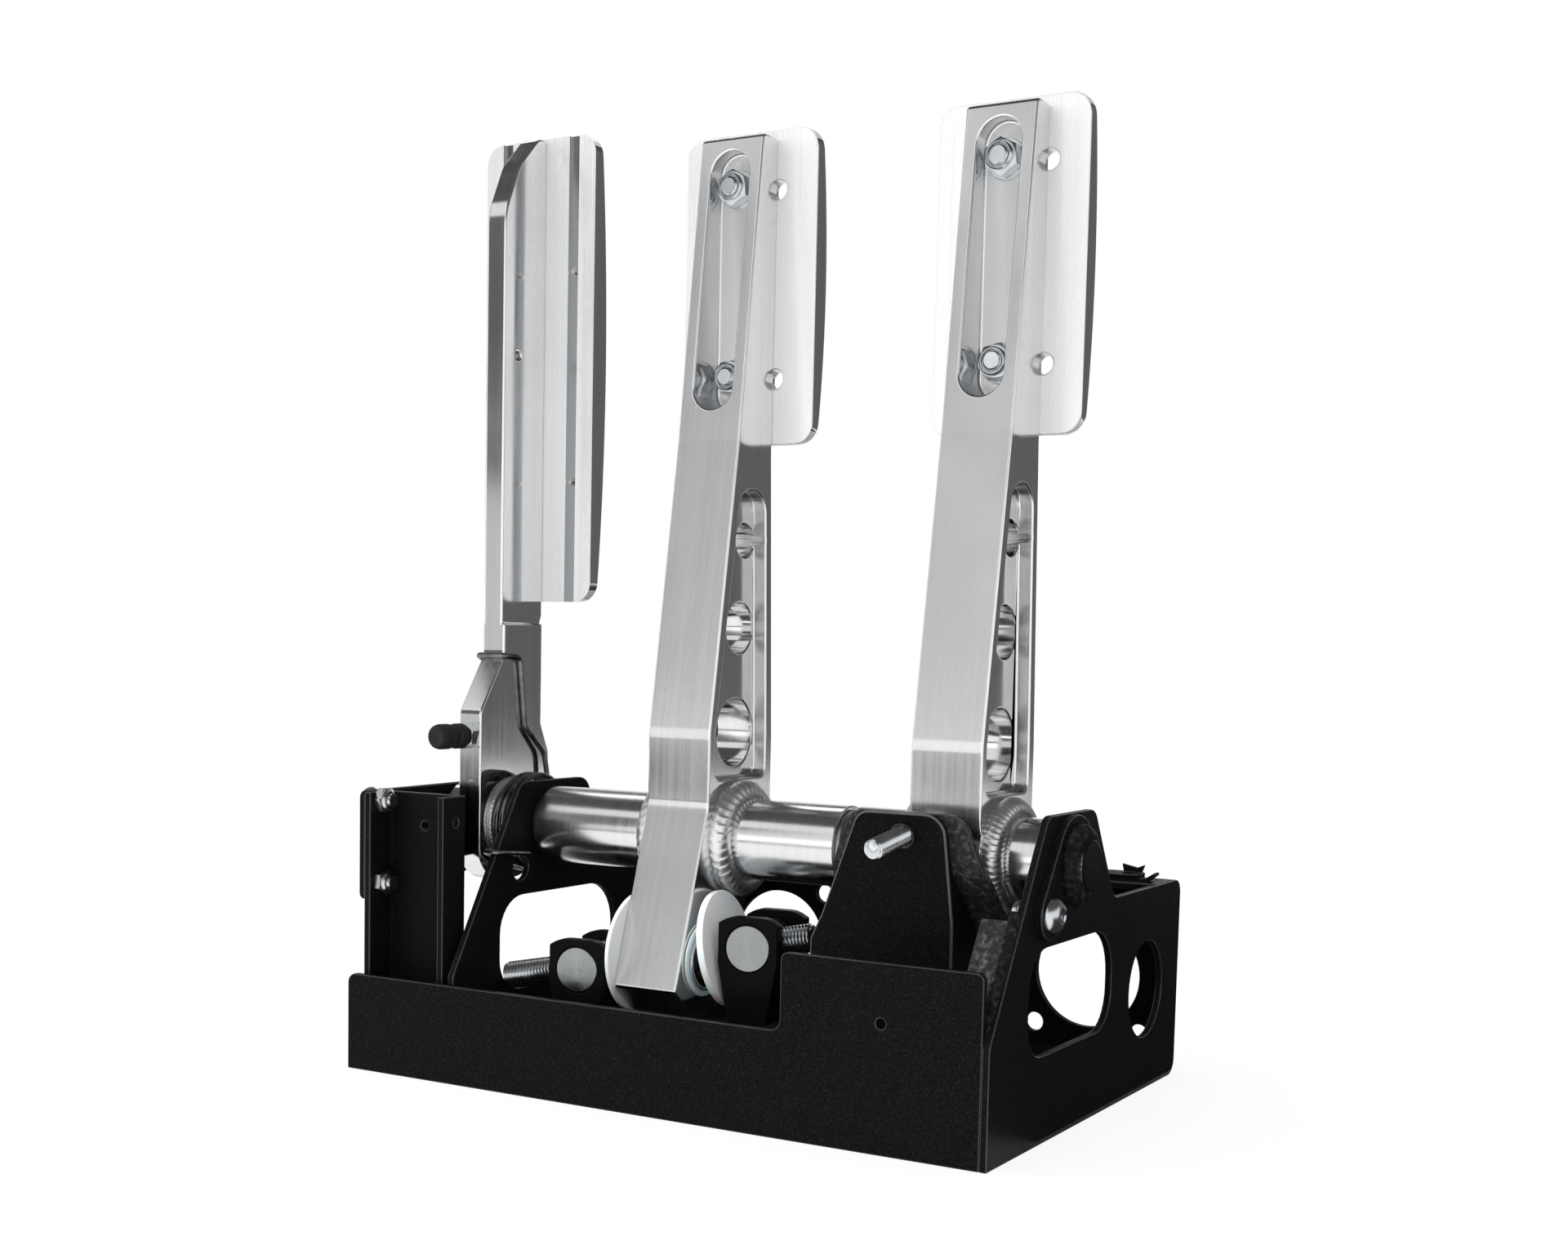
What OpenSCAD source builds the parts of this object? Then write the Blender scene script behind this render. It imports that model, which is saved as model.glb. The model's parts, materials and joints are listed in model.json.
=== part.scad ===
// Floor-mounted racing pedal set: throttle, brake and clutch on one cross shaft in a sheet steel base.
// Millimetres. The origin is the centre of the base's underside; +X is the clutch side, +Y the driver's
// side, +Z up. Places inside the modules are measured from the base's far left bottom corner.

/* [Base] */
// Width of the base
base_w = 300; // [296:1:312]
// Depth of the base
base_d = 205; // [200:1:220]
// Thickness of the sheet steel
sheet = 3; // [2.5:0.25:3.5]
// Height of the front wall on the throttle side
front_low_h = 41.5; // [38:0.5:44]
// Height of the front wall on the clutch side
front_high_h = 71.5; // [68:0.5:73]
// Width of the raised part of the front wall
front_high_w = 86; // [82:1:88]
// Height of the rear wall
rear_h = 87; // [84:0.5:89]
// Depth of the rear wall's top flange
flange_d = 30; // [20:1:34]
// Outer radius of the tray's bends
bend_r = 7; // [5:0.5:9]
// Distance of the inner side plate from the left edge
inner_plate_x = 52.3; // [51.5:0.1:54]
// Radius of the porthole in the right side plate
porthole_r = 20.6; // [16:0.2:22]
// Radius of the openings for the cylinders in the rear wall
cylinder_hole_r = 24.5; // [20:0.5:26]
// Height of the cylinder openings' centres
cylinder_z = 41; // [38:0.5:43]
// Spacing of the four bolts round each cylinder opening
cylinder_bolt_pitch = 50; // [46:1:54]
// Radius of the bolt holes in the floor and rear wall
bolt_hole_r = 4.25; // [3.3:0.05:5]
// Spacing of the floor's bolt holes, left to right
floor_bolt_x = 260; // [250:1:266]
// Spacing of the floor's bolt holes, front to rear
floor_bolt_y = 140; // [130:1:150]

/* [Cross shaft] */
// Distance of the pivot line from the front
pivot_y = 70.5; // [69:0.5:72]
// Height of the pivot line
pivot_z = 105; // [103:0.5:106]
// Radius of the shaft
shaft_r = 10; // [8:0.25:10.5]
// Radius of the pedals' pivot tubes
tube_r = 16.75; // [16:0.25:17.5]
// Inner radius of the pivot tubes
tube_bore_r = 12.5; // [12:0.25:13]
// Length of the plain bushes
bush_len = 20; // [12:1:24]
// Thickness of the bushes' flanges
bush_flange = 2; // [1.5:0.25:2.5]
// Radius of the weld beads' toes on the pedal arms
weld_toe_r = 23.5; // [21:0.25:23.5]
// Length of the shaft's end beyond the retainer plate
shaft_end = 6.5; // [4:0.5:10]

/* [Brake and clutch pedals] */
// Distance between the centres of the brake and clutch arms
pedal_pitch = 121; // [119:0.5:123]
// Distance of the clutch arm's centre from the right edge
clutch_inset = 42; // [41:0.5:43]
// Width of the arms
arm_w = 30; // [28:0.5:31]
// Height of the arms above the pivot
arm_h = 291; // [285:1:300]
// Depth of the arms from front to rear at the pivot
arm_hub_d = 50.5; // [49:0.5:51.5]
// Depth of the pockets milled in the arms' sides
pocket_depth = 6; // [3:0.5:9]
// Width of the pocket that the pad bolts sit in
bolt_pocket_w = 18.5; // [18.5:0.25:22]
// Thickness of the wall that the pads are bolted to
bolt_wall = 5.5; // [4:0.25:7]
// Distance from the pivot line down to the balance bar
lever_drop = 48; // [46:0.5:49]
// Distance from the pivot line down to the clutch rod's eye
clutch_eye_drop = 52; // [48:0.5:56]
// Thickness of the clutch arm's lower tongue
tongue_t = 12; // [8:0.5:13]
// Radius of the eye in the clutch tongue
clutch_eye_r = 4; // [3:0.25:5]

/* [Pads] */
// Width of the brake and clutch pads
pad_w = 64; // [60:1:70]
// Height of the brake and clutch pads
pad_h = 130; // [124:1:136]
// Thickness of the pads in the middle
pad_t = 10; // [8:0.5:12]
// Thickness of the pads at their upper and lower edges
pad_edge_t = 5; // [4:0.5:6]
// Spacing of the pad bolts along the arm
pad_bolt_pitch = 78; // [72:1:80]
// Spacing of the pads' spare hole columns
pad_hole_shift = 15.2; // [15:0.2:19]
// Width of the throttle pad
throttle_pad_w = 60; // [54:1:60]
// Height of the throttle pad
throttle_pad_h = 205.5; // [196:0.5:212]

/* [Throttle pedal] */
// Distance of the throttle arm's centre from the left edge
throttle_x = 28; // [27:0.5:29]
// Thickness of the throttle arm
throttle_arm_t = 12; // [10:0.5:13]
// Thickness of its fin behind the pad
fin_t = 10; // [8:0.5:10]
// Height of the stop bolt above the pivot line
stop_bolt_z = 38.5; // [38:0.5:42]
// Length of the rubber stop
rubber_len = 17; // [14:0.5:18]
// Radius of the rubber stop
rubber_r = 5.5; // [4.5:0.25:6]
// Height of the throttle bracket
bracket_h = 119.5; // [112:0.5:120]

/* [Return spring] */
// Diameter of the spring wire
wire_d = 2.4; // [2:0.1:2.6]
// Mean radius of the coil
coil_r = 21; // [20:0.25:23]
// Distance between turns
coil_pitch = 3.1; // [3.1:0.05:3.4]
// Full turns beyond the last part turn
coil_turns = 2; // [1:1:2]

/* [Balance bar] */
// Radius of the bar
bar_r = 6; // [5:0.25:6.5]
// Gap between the bar's left end and the inner side plate
bar_end_gap = 3.8; // [3.5:0.1:10]
// Length of the bar from its ball to the right end
bar_right = 64; // [58:1:64]
// Tilt of the bar, right end up
bar_tilt = 11; // [6:0.5:11]
// Turn of the bar, left end forward
bar_turn = 7; // [0:0.5:7]
// Distance from the ball to the left trunnion
trunnion_left = 37; // [36.8:0.1:40]
// Distance from the ball to the right trunnion
trunnion_right = 41.5; // [41:0.1:43]
// Radius of the trunnion barrels
trunnion_r = 9.5; // [8:0.25:9.5]
// Length of the trunnion barrels, equal to the clevises' depth
trunnion_len = 34; // [30:1:36]
// Thickness of the clevis ears
ear_t = 6; // [5:0.5:7]
// Half width of the clevises
clevis_half_w = 13; // [12:0.5:13]
// Distance from the barrel down to the clevis's lower end
clevis_drop = 30.5; // [28:0.5:32]
// Radius of the rod thread in the clevis
rod_hole_r = 4; // [3:0.25:5]
// Radius of the nylon spacer on the bar
nylon_r = 24; // [20:0.5:24]
// Thickness of the nylon spacer on the bar
nylon_t = 3; // [2:0.25:3]
// Radius of the nylon disc on the lever's left side
disc_r = 25.5; // [22:0.5:26]
// Thickness of the nylon disc on the lever's left side
disc_t = 1.9; // [1.5:0.1:1.9]
// Outer radius of the bearing housing
housing_r = 13; // [12.5:0.25:13.5]
// Inner radius of the bearing housing
housing_bore_r = 11.5; // [10.75:0.25:12]

/* [Clutch stop] */
// Width of the stop bracket at its foot
stop_w = 61; // [58:1:62]
// Distance of the bracket's right face from the right edge
stop_inset = 32; // [31.5:0.5:33]
// Length of the stop stud towards the front
stud_front_y = 2.5; // [0:0.5:8]
// Length of the stop stud towards the arm
stud_rear_y = 40.2; // [36:0.1:40.2]

/* [Hidden] */
$fn = 64;

black = "#1b1c1d";
alloy = "#c9cbcc";
zinc = "#b8bcbf";
nylon = "#dfe6ea";
rubber = "#1a1a1a";
wire = "#6d6a66";

// Clearances: running between moving pieces, seat round fixed ones, gap between faces of two bodies
running = 0.05;
seat = 0.02;
face_gap = 0.3;
over = 1;
chamfer = 1;

// Sizes of the metric fasteners: radius, hexagon across flats, nut height, washer radius
m8_r = 4;
m8_flats = 13;
m8_nut_h = 6.5;
m8_washer_r = 8;
m8_head_r = 7;
m8_head_h = 4.4;
m6_r = 3;
m6_flats = 10;
m6_nut_h = 5;
m6_head_r = 5.25;
m6_head_h = 3.3;
key_r = 2.9;
key_depth = 2.5;
small_hole_r = 2;
washer_t = 1.5;
hex_corner = 2 / sqrt(3);

// Outline with rounded corners: each point is [across, up, corner radius]
function flat(p) = [p[0], p[1]];
function unit(v) = v / norm(v);
function fillet(a, b, c, steps = 8) =
    let (u = unit(flat(a) - flat(b)), v = unit(flat(c) - flat(b)), half = acos(u * v) / 2,
         centre = flat(b) + unit(u + v) * b[2] / sin(half), reach = b[2] / tan(half),
         from = flat(b) + u * reach - centre, to = flat(b) + v * reach - centre,
         start = atan2(from[1], from[0]),
         turn = (atan2(to[1], to[0]) - start + 540) % 360 - 180)
    [for (i = [0:steps]) centre + b[2] * [cos(start + turn * i / steps), sin(start + turn * i / steps)]];
function rounded(p) = [for (i = [0:len(p) - 1]) each p[i][2] == 0 ? [flat(p[i])]
    : fillet(p[(i + len(p) - 1) % len(p)], p[i], p[(i + 1) % len(p)])];

// Moves places measured from the far left bottom corner to the model's origin
module placed() translate([-base_w / 2, -base_d / 2, 0]) children();
// Slab across X of an outline drawn in Y and Z
module slab_x(x, t) translate([x, 0, 0]) rotate([90, 0, 90]) linear_extrude(t) children();
// Slab across Y of an outline drawn in X and Z
module slab_y(y, t) translate([0, y + t, 0]) rotate([90, 0, 0]) linear_extrude(t) children();
// Round bar along X or Y
module rod_x(at, length, r) translate(at) rotate([0, 90, 0]) cylinder(h = length, r = r);
module rod_y(at, length, r) translate(at) rotate([-90, 0, 0]) cylinder(h = length, r = r);
// Turned rod along Z with a small chamfer at its lower end and, if wanted, at its upper end
module turned_rod(length, r, upper = true) rotate_extrude() polygon([[0, 0], [r - chamfer, 0], [r, chamfer],
    [r, length - (upper ? chamfer : 0)], [r - (upper ? chamfer : 0), length], [0, length]]);
// Ring along X
module ring_x(at, length, r, bore) difference() {
    rod_x(at, length, r);
    rod_x([at[0] - over, at[1], at[2]], length + 2 * over, bore);
}
// Hexagon nut along Y with its hole
module nut_y(at, flats, h, hole_r) translate(at) rotate([-90, 0, 0]) difference() {
    cylinder(h = h, r = flats * hex_corner / 2, $fn = 6);
    translate([0, 0, -over]) cylinder(h = h + 2 * over, r = hole_r);
}
// Hexagon nut along X with its hole
module nut_x(at, flats, h, hole_r) translate(at) rotate([0, 90, 0]) difference() {
    cylinder(h = h, r = flats * hex_corner / 2, $fn = 6);
    translate([0, 0, -over]) cylinder(h = h + 2 * over, r = hole_r);
}

// Side plates: towers beside the pivot, with a slope down to the front and to the rear shoulder
nose_h = 45;
tower_top = pivot_z + 19.5;
tower_front = pivot_y - 22;
tower_rear = pivot_y + 26;
tower_foot = pivot_y + 50.5;
top_bend_r = bend_r - 1;
function side_outline(g) = rounded([[g, g, 0], [g, nose_h, 5], [tower_front, tower_top, 7],
    [tower_rear, tower_top, 8], [tower_foot, rear_h - g, 8], [base_d - g, rear_h - g, top_bend_r - g],
    [base_d - g, g, bend_r - g]]);
window = [pivot_y - 35.9, pivot_y + 50.7];
window_z = [34, 75];
window_outline = rounded([[window[0], window_z[0], 14], [window[0], window_z[1], 16],
    [window[1], window_z[1], 19.5], [window[1], window_z[0], 16]]);
porthole_y = base_d - 41.5;
porthole_z = 43.7;
screw_y = pivot_y - 24;
screw_z = pivot_z - 17;
right_plate_x = base_w - sheet;

// The three cylinder openings: one for each clevis, one for the clutch
clevis_pitch = trunnion_left + trunnion_right;
clutch_x = base_w - clutch_inset;
brake_x = clutch_x - pedal_pitch;
cylinder_x = [brake_x - clevis_pitch / 2, brake_x + clevis_pitch / 2, clutch_x + 1];

module base_tray() color(black) placed() difference() {
    slab_x(0, right_plate_x) polygon(rounded([[sheet, 0, 0], [base_d, 0, bend_r],
        [base_d, rear_h, top_bend_r], [base_d - flange_d, rear_h, 0], [base_d - flange_d, rear_h - sheet, 0],
        [base_d - sheet, rear_h - sheet, top_bend_r - sheet], [base_d - sheet, sheet, bend_r - sheet],
        [sheet, sheet, 0]]));
    for (x = cylinder_x) {
        rod_y([x, base_d - sheet - over, cylinder_z], sheet + 2 * over, cylinder_hole_r);
        for (dx = [-1, 1], dz = [-1, 1])
            rod_y([x + dx * cylinder_bolt_pitch / 2, base_d - sheet - over,
                cylinder_z + dz * cylinder_bolt_pitch / 2], sheet + 2 * over, bolt_hole_r);
    }
    for (dx = [-1, 1], dy = [-1, 1])
        translate([base_w / 2 + dx * floor_bolt_x / 2, base_d / 2 + dy * floor_bolt_y / 2, -over])
            cylinder(h = sheet + 2 * over, r = bolt_hole_r);
}

// Front wall: low on the throttle side, high in front of the clutch, with one small hole
step_x = base_w - front_high_w;
front_hole = [base_w - 43.5, 49];
front_corner_r = 3;
module front_wall() color(black) placed() difference() {
    slab_y(0, sheet) polygon(rounded([[0, 0, 0], [right_plate_x, 0, 0],
        [right_plate_x, front_high_h, front_corner_r], [step_x, front_high_h, 3],
        [step_x, front_low_h, 4], [0, front_low_h, 4]]));
    rod_y([front_hole[0], -over, front_hole[1]], sheet + 2 * over, small_hole_r);
}

// Lip bent inwards along the right plate's front slope
plate_lip_w = 13.5;
plate_lip_y = [4, 26];
slope_rise = (tower_top - nose_h) / tower_front;
slope_len = norm([1, slope_rise]);
lip_in = [slope_rise, -1] / slope_len * sheet;
plate_lip = [for (y = plate_lip_y) [y, nose_h + y * slope_rise]];
module right_side_plate() color(black) placed() difference() {
    union() {
        slab_x(right_plate_x, sheet) polygon(side_outline(0));
        slab_x(right_plate_x - plate_lip_w, plate_lip_w + sheet)
            polygon([plate_lip[0], plate_lip[1], plate_lip[1] + lip_in, plate_lip[0] + lip_in]);
    }
    slab_x(right_plate_x - over, sheet + 2 * over) polygon(window_outline);
    rod_x([right_plate_x - over, porthole_y, porthole_z], sheet + 2 * over, porthole_r);
    rod_x([right_plate_x - over, pivot_y, pivot_z], sheet + 2 * over, shaft_r + seat);
    rod_x([right_plate_x - over, screw_y, screw_z], sheet + 2 * over, m8_r + seat);
}

spring_hole_r = 5.5;
module inner_side_plate() color(black) placed() difference() {
    slab_x(inner_plate_x, sheet) polygon(side_outline(sheet));
    slab_x(inner_plate_x - over, sheet + 2 * over) polygon(window_outline);
    rod_x([inner_plate_x - over, pivot_y, pivot_z], sheet + 2 * over, shaft_r + seat);
    rod_x([inner_plate_x - over, pivot_y - 22, pivot_z - 18], sheet + 2 * over, spring_hole_r);
}

// Throttle bracket: a bent channel, open to the front
outrigger_x = 2;
channel_x = outrigger_x + sheet;
channel_w = 43;
channel_front = 4.6;
channel_rear = 21.5;
module throttle_bracket() color(black) placed() difference() {
    translate([0, 0, sheet]) linear_extrude(bracket_h - sheet) polygon(rounded([
        [channel_x, channel_front, 0], [channel_x + sheet, channel_front, 0],
        [channel_x + sheet, channel_rear - sheet, 1], [channel_x + channel_w - sheet, channel_rear - sheet, 1],
        [channel_x + channel_w - sheet, channel_front, 0], [channel_x + channel_w, channel_front, 0],
        [channel_x + channel_w, channel_rear, 4], [channel_x, channel_rear, 4]]));
    for (z = outrigger_screw_z)
        rod_x([channel_x - over, outrigger_screw_y, z], sheet + 2 * over, m6_r + seat);
    rod_x([channel_x + channel_w - sheet - over, outrigger_screw_y + 1, bracket_h - 11],
        sheet + 2 * over, small_hole_r);
    rod_y([channel_x + channel_w / 2, channel_rear - sheet - over, bracket_h - 14],
        sheet + 2 * over, small_hole_r);
}

// Outrigger plate: bolted to the channel, carries the shaft's left end
outrigger_screw_y = 12;
outrigger_screw_z = [pivot_z - 24.5, pivot_z + 11];
outrigger_top = pivot_z + 16;
outrigger_rear = pivot_y + 21.5;
module outrigger_plate() color(black) placed() difference() {
    slab_x(outrigger_x, sheet) polygon(rounded([[channel_front, pivot_z - 32, 3],
        [channel_front, outrigger_top - 1, 3], [outrigger_rear, outrigger_top, 15],
        [outrigger_rear, pivot_z - 19, 12], [pivot_y - 2, pivot_z - 27, 8],
        [channel_rear + 4, pivot_z - 32, 8]]));
    rod_x([outrigger_x - over, pivot_y, pivot_z], sheet + 2 * over, shaft_r + seat);
    for (z = outrigger_screw_z)
        rod_x([outrigger_x - over, outrigger_screw_y, z], sheet + 2 * over, m6_r + seat);
}

module outrigger_screws() color(zinc) placed() for (z = outrigger_screw_z) {
    rod_x([outrigger_x, outrigger_screw_y, z], 2 * sheet + m6_nut_h + 2, m6_r);
    translate([outrigger_x, outrigger_screw_y, z]) rotate([0, -90, 0])
        cylinder(h = m6_head_h, r1 = m6_head_r, r2 = m6_head_r - 2);
}
module outrigger_nuts() color(zinc) placed() for (z = outrigger_screw_z)
    nut_x([channel_x + sheet, outrigger_screw_y, z], m6_flats, m6_nut_h, m6_r + seat);

// Clutch stop bracket: a folded front leaning forward at the top, with flanges back to the brace
stop_right = base_w - stop_inset;
stop_left = stop_right - stop_w;
stop_top = pivot_z + 19.5;
stop_bend_z = 82;
stop_front = 35;
stop_front_top = 24.5;
// The brace's front face: steep at the top, then at 45 degrees past the arm's hub
brace_high = [pivot_y - 38.5, pivot_z + 3.5];
brace_mid = [pivot_y - 35.3, pivot_z - 3.6];
brace_run = 42.4;
brace_dir = [cos(-44.5), sin(-44.5)];
brace_low = brace_mid + brace_dir * brace_run;
brace_normal = [sin(44.5), cos(44.5)];
brace_top = [stop_front_top + sheet + 0.4, stop_top];
stop_side = [[stop_front, sheet], [stop_front, stop_bend_z], [stop_front_top, stop_top], brace_top,
    brace_high, brace_mid, brace_low, [brace_low[0], sheet]];
stop_slope_x = 25;
stop_slope_z = 72;
stop_outer = rounded([[stop_left, sheet, 0], [stop_right, sheet, 0], [stop_right, stop_top, 8],
    [stop_left + stop_slope_x, stop_top, 8], [stop_left, stop_slope_z, 6]]);
stop_inner = [[stop_left + sheet, 0], [stop_right - sheet, 0], [stop_right - sheet, stop_top + over],
    [stop_left + stop_slope_x + sheet, stop_top + over], [stop_left + sheet, stop_slope_z + over]];
stud_at = [clutch_x - 8, 27, pivot_z + 10.6];
stud_pitch = 8;
module along_stud() translate(stud_at) rotate([-90 + stud_pitch, 0, 0]) children();

module clutch_stop_bracket() color(black) placed() difference() {
    intersection() {
        slab_x(stop_left - over, stop_w + 2 * over) polygon(stop_side);
        slab_y(0, base_d) polygon(stop_outer);
    }
    difference() {
        slab_y(0, base_d) polygon(stop_inner);
        slab_x(stop_left - over, stop_w + 2 * over) polygon([[stop_front - sheet, 0],
            [stop_front - sheet, stop_bend_z], [stop_front_top - sheet, stop_top + over],
            [stop_front_top + sheet, stop_top + over], [stop_front + sheet, stop_bend_z + 0.6],
            [stop_front + sheet, 0]]);
    }
    along_stud() cylinder(h = 2 * stop_front, r = m8_r + seat, center = true);
}

// Brace: the sloping lips behind the flanges, joined across the top
lip_right = 13;
lip_left = 4;
brace_side = [brace_top, brace_high, brace_mid, brace_low, brace_low + brace_normal * sheet,
    brace_mid + brace_normal * sheet, brace_high + brace_normal * sheet + [0.6, 0], brace_top + [sheet, 0]];
module clutch_stop_brace() color(black) placed() difference() {
    intersection() {
        slab_x(stop_left - lip_left - over, stop_w + lip_left + lip_right + 2 * over) polygon(brace_side);
        slab_y(0, base_d) polygon(rounded([[stop_left - lip_left, 0, 0], [stop_right + lip_right, 0, 0],
            [stop_right + lip_right, pivot_z - 5, 10], [stop_right + 6, stop_top, 9],
            [stop_left + stop_slope_x - 5, stop_top, 9], [stop_left - lip_left, stop_slope_z, 6]]));
    }
    slab_y(0, base_d) polygon(rounded([[stop_left + sheet, 0, 0], [stop_right - sheet, 0, 0],
        [stop_right - sheet, pivot_z + 3, 6], [stop_left + 20, pivot_z + 3, 6],
        [stop_left + sheet, stop_slope_z, 6]]));
    along_stud() cylinder(h = 2 * stop_front, r = m8_r + seat, center = true);
}

stud_back = (stud_rear_y - stud_at[1]) / cos(stud_pitch);
stud_out = (stud_at[1] - stud_front_y) / cos(stud_pitch);
nut_from = 7.6;
thin_nut_h = 5;
module clutch_stop_stud() color(zinc) placed() along_stud()
    translate([0, 0, -stud_out]) turned_rod(stud_out + stud_back, m8_r, false);
module clutch_stop_nut() color(zinc) placed() along_stud() translate([0, 0, nut_from]) rotate([0, 0, 30])
    difference() {
        cylinder(h = thin_nut_h, r = m8_flats * hex_corner / 2, $fn = 6);
        translate([0, 0, -over]) cylinder(h = thin_nut_h + 2 * over, r = m8_r + seat);
    }

// Spring clip on the rear flange: a low saddle with a notched tab, and a slanted tongue beside it
clip_left = base_w - 31;
clip_w = 18;
clip_rear = base_d - bend_r - 1;
clip_d = 15;
clip_t = 2.6;
tab_left = clip_left + 9;
tab_w = 9.4;
tab_h = 3.6;
tab_t = 1.6;
clip_tongue = [base_w - 11, base_w - 7.6, base_w - 3.6];
module flange_clips() color(black) placed() {
    translate([0, 0, rear_h]) linear_extrude(clip_t) polygon(rounded([[clip_left, clip_rear - clip_d, 3],
        [clip_left + clip_w, clip_rear - clip_d, 3], [clip_left + clip_w, clip_rear, 3],
        [clip_left, clip_rear, 3]]));
    translate([0, 0, rear_h + clip_t]) slab_y(clip_rear - 3 - tab_t, tab_t) polygon([
        [tab_left, -0.2 * tab_h], [tab_left + 0.84 * tab_w, -0.2 * tab_h], [tab_left + tab_w, tab_h],
        [tab_left + 0.64 * tab_w, 0.6 * tab_h], [tab_left - 0.1 * tab_w, tab_h]]);
    translate([0, 0, rear_h]) slab_y(clip_rear - clip_d, tab_w / 2) polygon([[clip_tongue[0], 0],
        [clip_tongue[1], 0], [clip_tongue[2], 0.9 * tab_h], [clip_tongue[2] - 0.6, 1.2 * tab_h],
        [clip_tongue[1] - 1, 0.4 * tab_h], [clip_tongue[0], 0.4 * tab_h]]);
}

module cross_shaft() color(zinc) placed()
    rod_x([0.6, pivot_y, pivot_z], base_w + sheet + shaft_end - 0.6, shaft_r);

// Retainer plate: a round end at the shaft and a smaller one at the screw
retainer_big_r = 19;
retainer_small_r = 9.5;
retainer_gap = norm([screw_y - pivot_y, screw_z - pivot_z]);
retainer_dir = atan2(screw_z - pivot_z, screw_y - pivot_y);
retainer_half = acos((retainer_big_r - retainer_small_r) / retainer_gap);
function round_at(c, r, a) = c + r * [cos(a), sin(a)];
module shaft_retainer() color(black) placed() difference() {
    union() {
        rod_x([base_w, pivot_y, pivot_z], sheet, retainer_big_r);
        rod_x([base_w, screw_y, screw_z], sheet, retainer_small_r);
        slab_x(base_w, sheet) polygon([
            round_at([pivot_y, pivot_z], retainer_big_r, retainer_dir - retainer_half),
            round_at([screw_y, screw_z], retainer_small_r, retainer_dir - retainer_half),
            round_at([screw_y, screw_z], retainer_small_r, retainer_dir + retainer_half),
            round_at([pivot_y, pivot_z], retainer_big_r, retainer_dir + retainer_half)]);
    }
    rod_x([base_w - over, pivot_y, pivot_z], sheet + 2 * over, shaft_r + seat);
    rod_x([base_w - over, screw_y, screw_z], sheet + 2 * over, m8_r + seat);
}
module retainer_screw() color(zinc) placed() difference() {
    union() {
        rod_x([right_plate_x - m8_nut_h - 2, screw_y, screw_z], m8_nut_h + 2 + 2 * sheet, m8_r);
        translate([base_w + sheet, screw_y, screw_z]) rotate([0, 90, 0])
            cylinder(h = m8_head_h, r1 = m8_head_r, r2 = m8_head_r - 2.5);
    }
    translate([base_w + sheet + m8_head_h - key_depth, screw_y, screw_z]) rotate([0, 90, 0])
        cylinder(h = key_depth + over, r = key_r, $fn = 6);
}
module retainer_nut() color(zinc) placed()
    nut_x([right_plate_x - m8_nut_h, screw_y, screw_z], m8_flats, m8_nut_h, m8_r + seat);

// Brake and clutch arms share their upper part
arm_top = pivot_z + arm_h;
// Distances down from the arms' top: pad's lower edge, lowest pad bolt, bolt pocket, side pockets
pad_drop = 126;
bolt_drop = 98.5;
bolt_pocket_drop = [104, 15];
side_pocket_drop = 146;
pad_low = arm_top - pad_drop;
arm_front = pivot_y - 23.8;
arm_rear = arm_front + arm_hub_d;
pad_back = pivot_y + 21.5;
bar_y = 45.5;
bar_z = pivot_z - lever_drop;
upper_rear = [[arm_rear, pivot_z + 42, 30], [pad_back, pad_low - 3, 40], [pad_back, arm_top, 2]];
upper_front = [[pad_back - 12, arm_top, 2], [pivot_y - 5.5, pad_low - 0.5, 60],
    [arm_front, pivot_z + 44, 45], [arm_front, pivot_z + 14, 18]];
pocket_top = arm_top - side_pocket_drop;
arm_pocket = rounded([[arm_front + 4.5, pivot_z + 25, 4], [arm_front + 4.5, pivot_z + 43.5, 12],
    [pivot_y - 2.3, pocket_top, 9.5], [pad_back - 4.4, pocket_top, 9.5], [arm_rear - 5.5, pivot_z + 42, 25],
    [arm_rear - 5.5, pivot_z + 25, 4]]);
light_low = pivot_z + 43.8;
light_high = pocket_top - 20.5;
light_holes = [[pivot_y + 5.8, light_low, 14.3], [pivot_y + 8.1, (light_low + light_high) / 2 + 3.65, 10.6],
    [pivot_y + 11, light_high, 7.15]];
bolt_pocket_z = [for (drop = bolt_pocket_drop) arm_top - drop];
pad_bolt_low = arm_top - bolt_drop;
pad_bolt_z = [pad_bolt_low, pad_bolt_low + pad_bolt_pitch];
bolt_floor = pad_back - bolt_wall;
// Cuts that both arms have: side pockets, round holes, the bolt pocket and the pad bolt holes
module arm_cuts(x) {
    for (from = [x - arm_w / 2 - over, x + arm_w / 2 - pocket_depth])
        slab_x(from, pocket_depth + over) polygon(arm_pocket);
    for (h = light_holes)
        rod_x([x - arm_w / 2 - over, h[0], h[1]], arm_w + 2 * over, h[2]);
    for (z = bolt_pocket_z)
        rod_y([x, 0, z], bolt_floor, bolt_pocket_w / 2);
    translate([x - bolt_pocket_w / 2, 0, bolt_pocket_z[0]])
        cube([bolt_pocket_w, bolt_floor, bolt_pocket_z[1] - bolt_pocket_z[0]]);
    for (z = pad_bolt_z)
        rod_y([x, bolt_floor - over, z], bolt_wall + 2 * over, m8_r + seat);
    rod_x([x - arm_w / 2 - over, pivot_y, pivot_z], arm_w + 2 * over, tube_r + seat);
}

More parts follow.
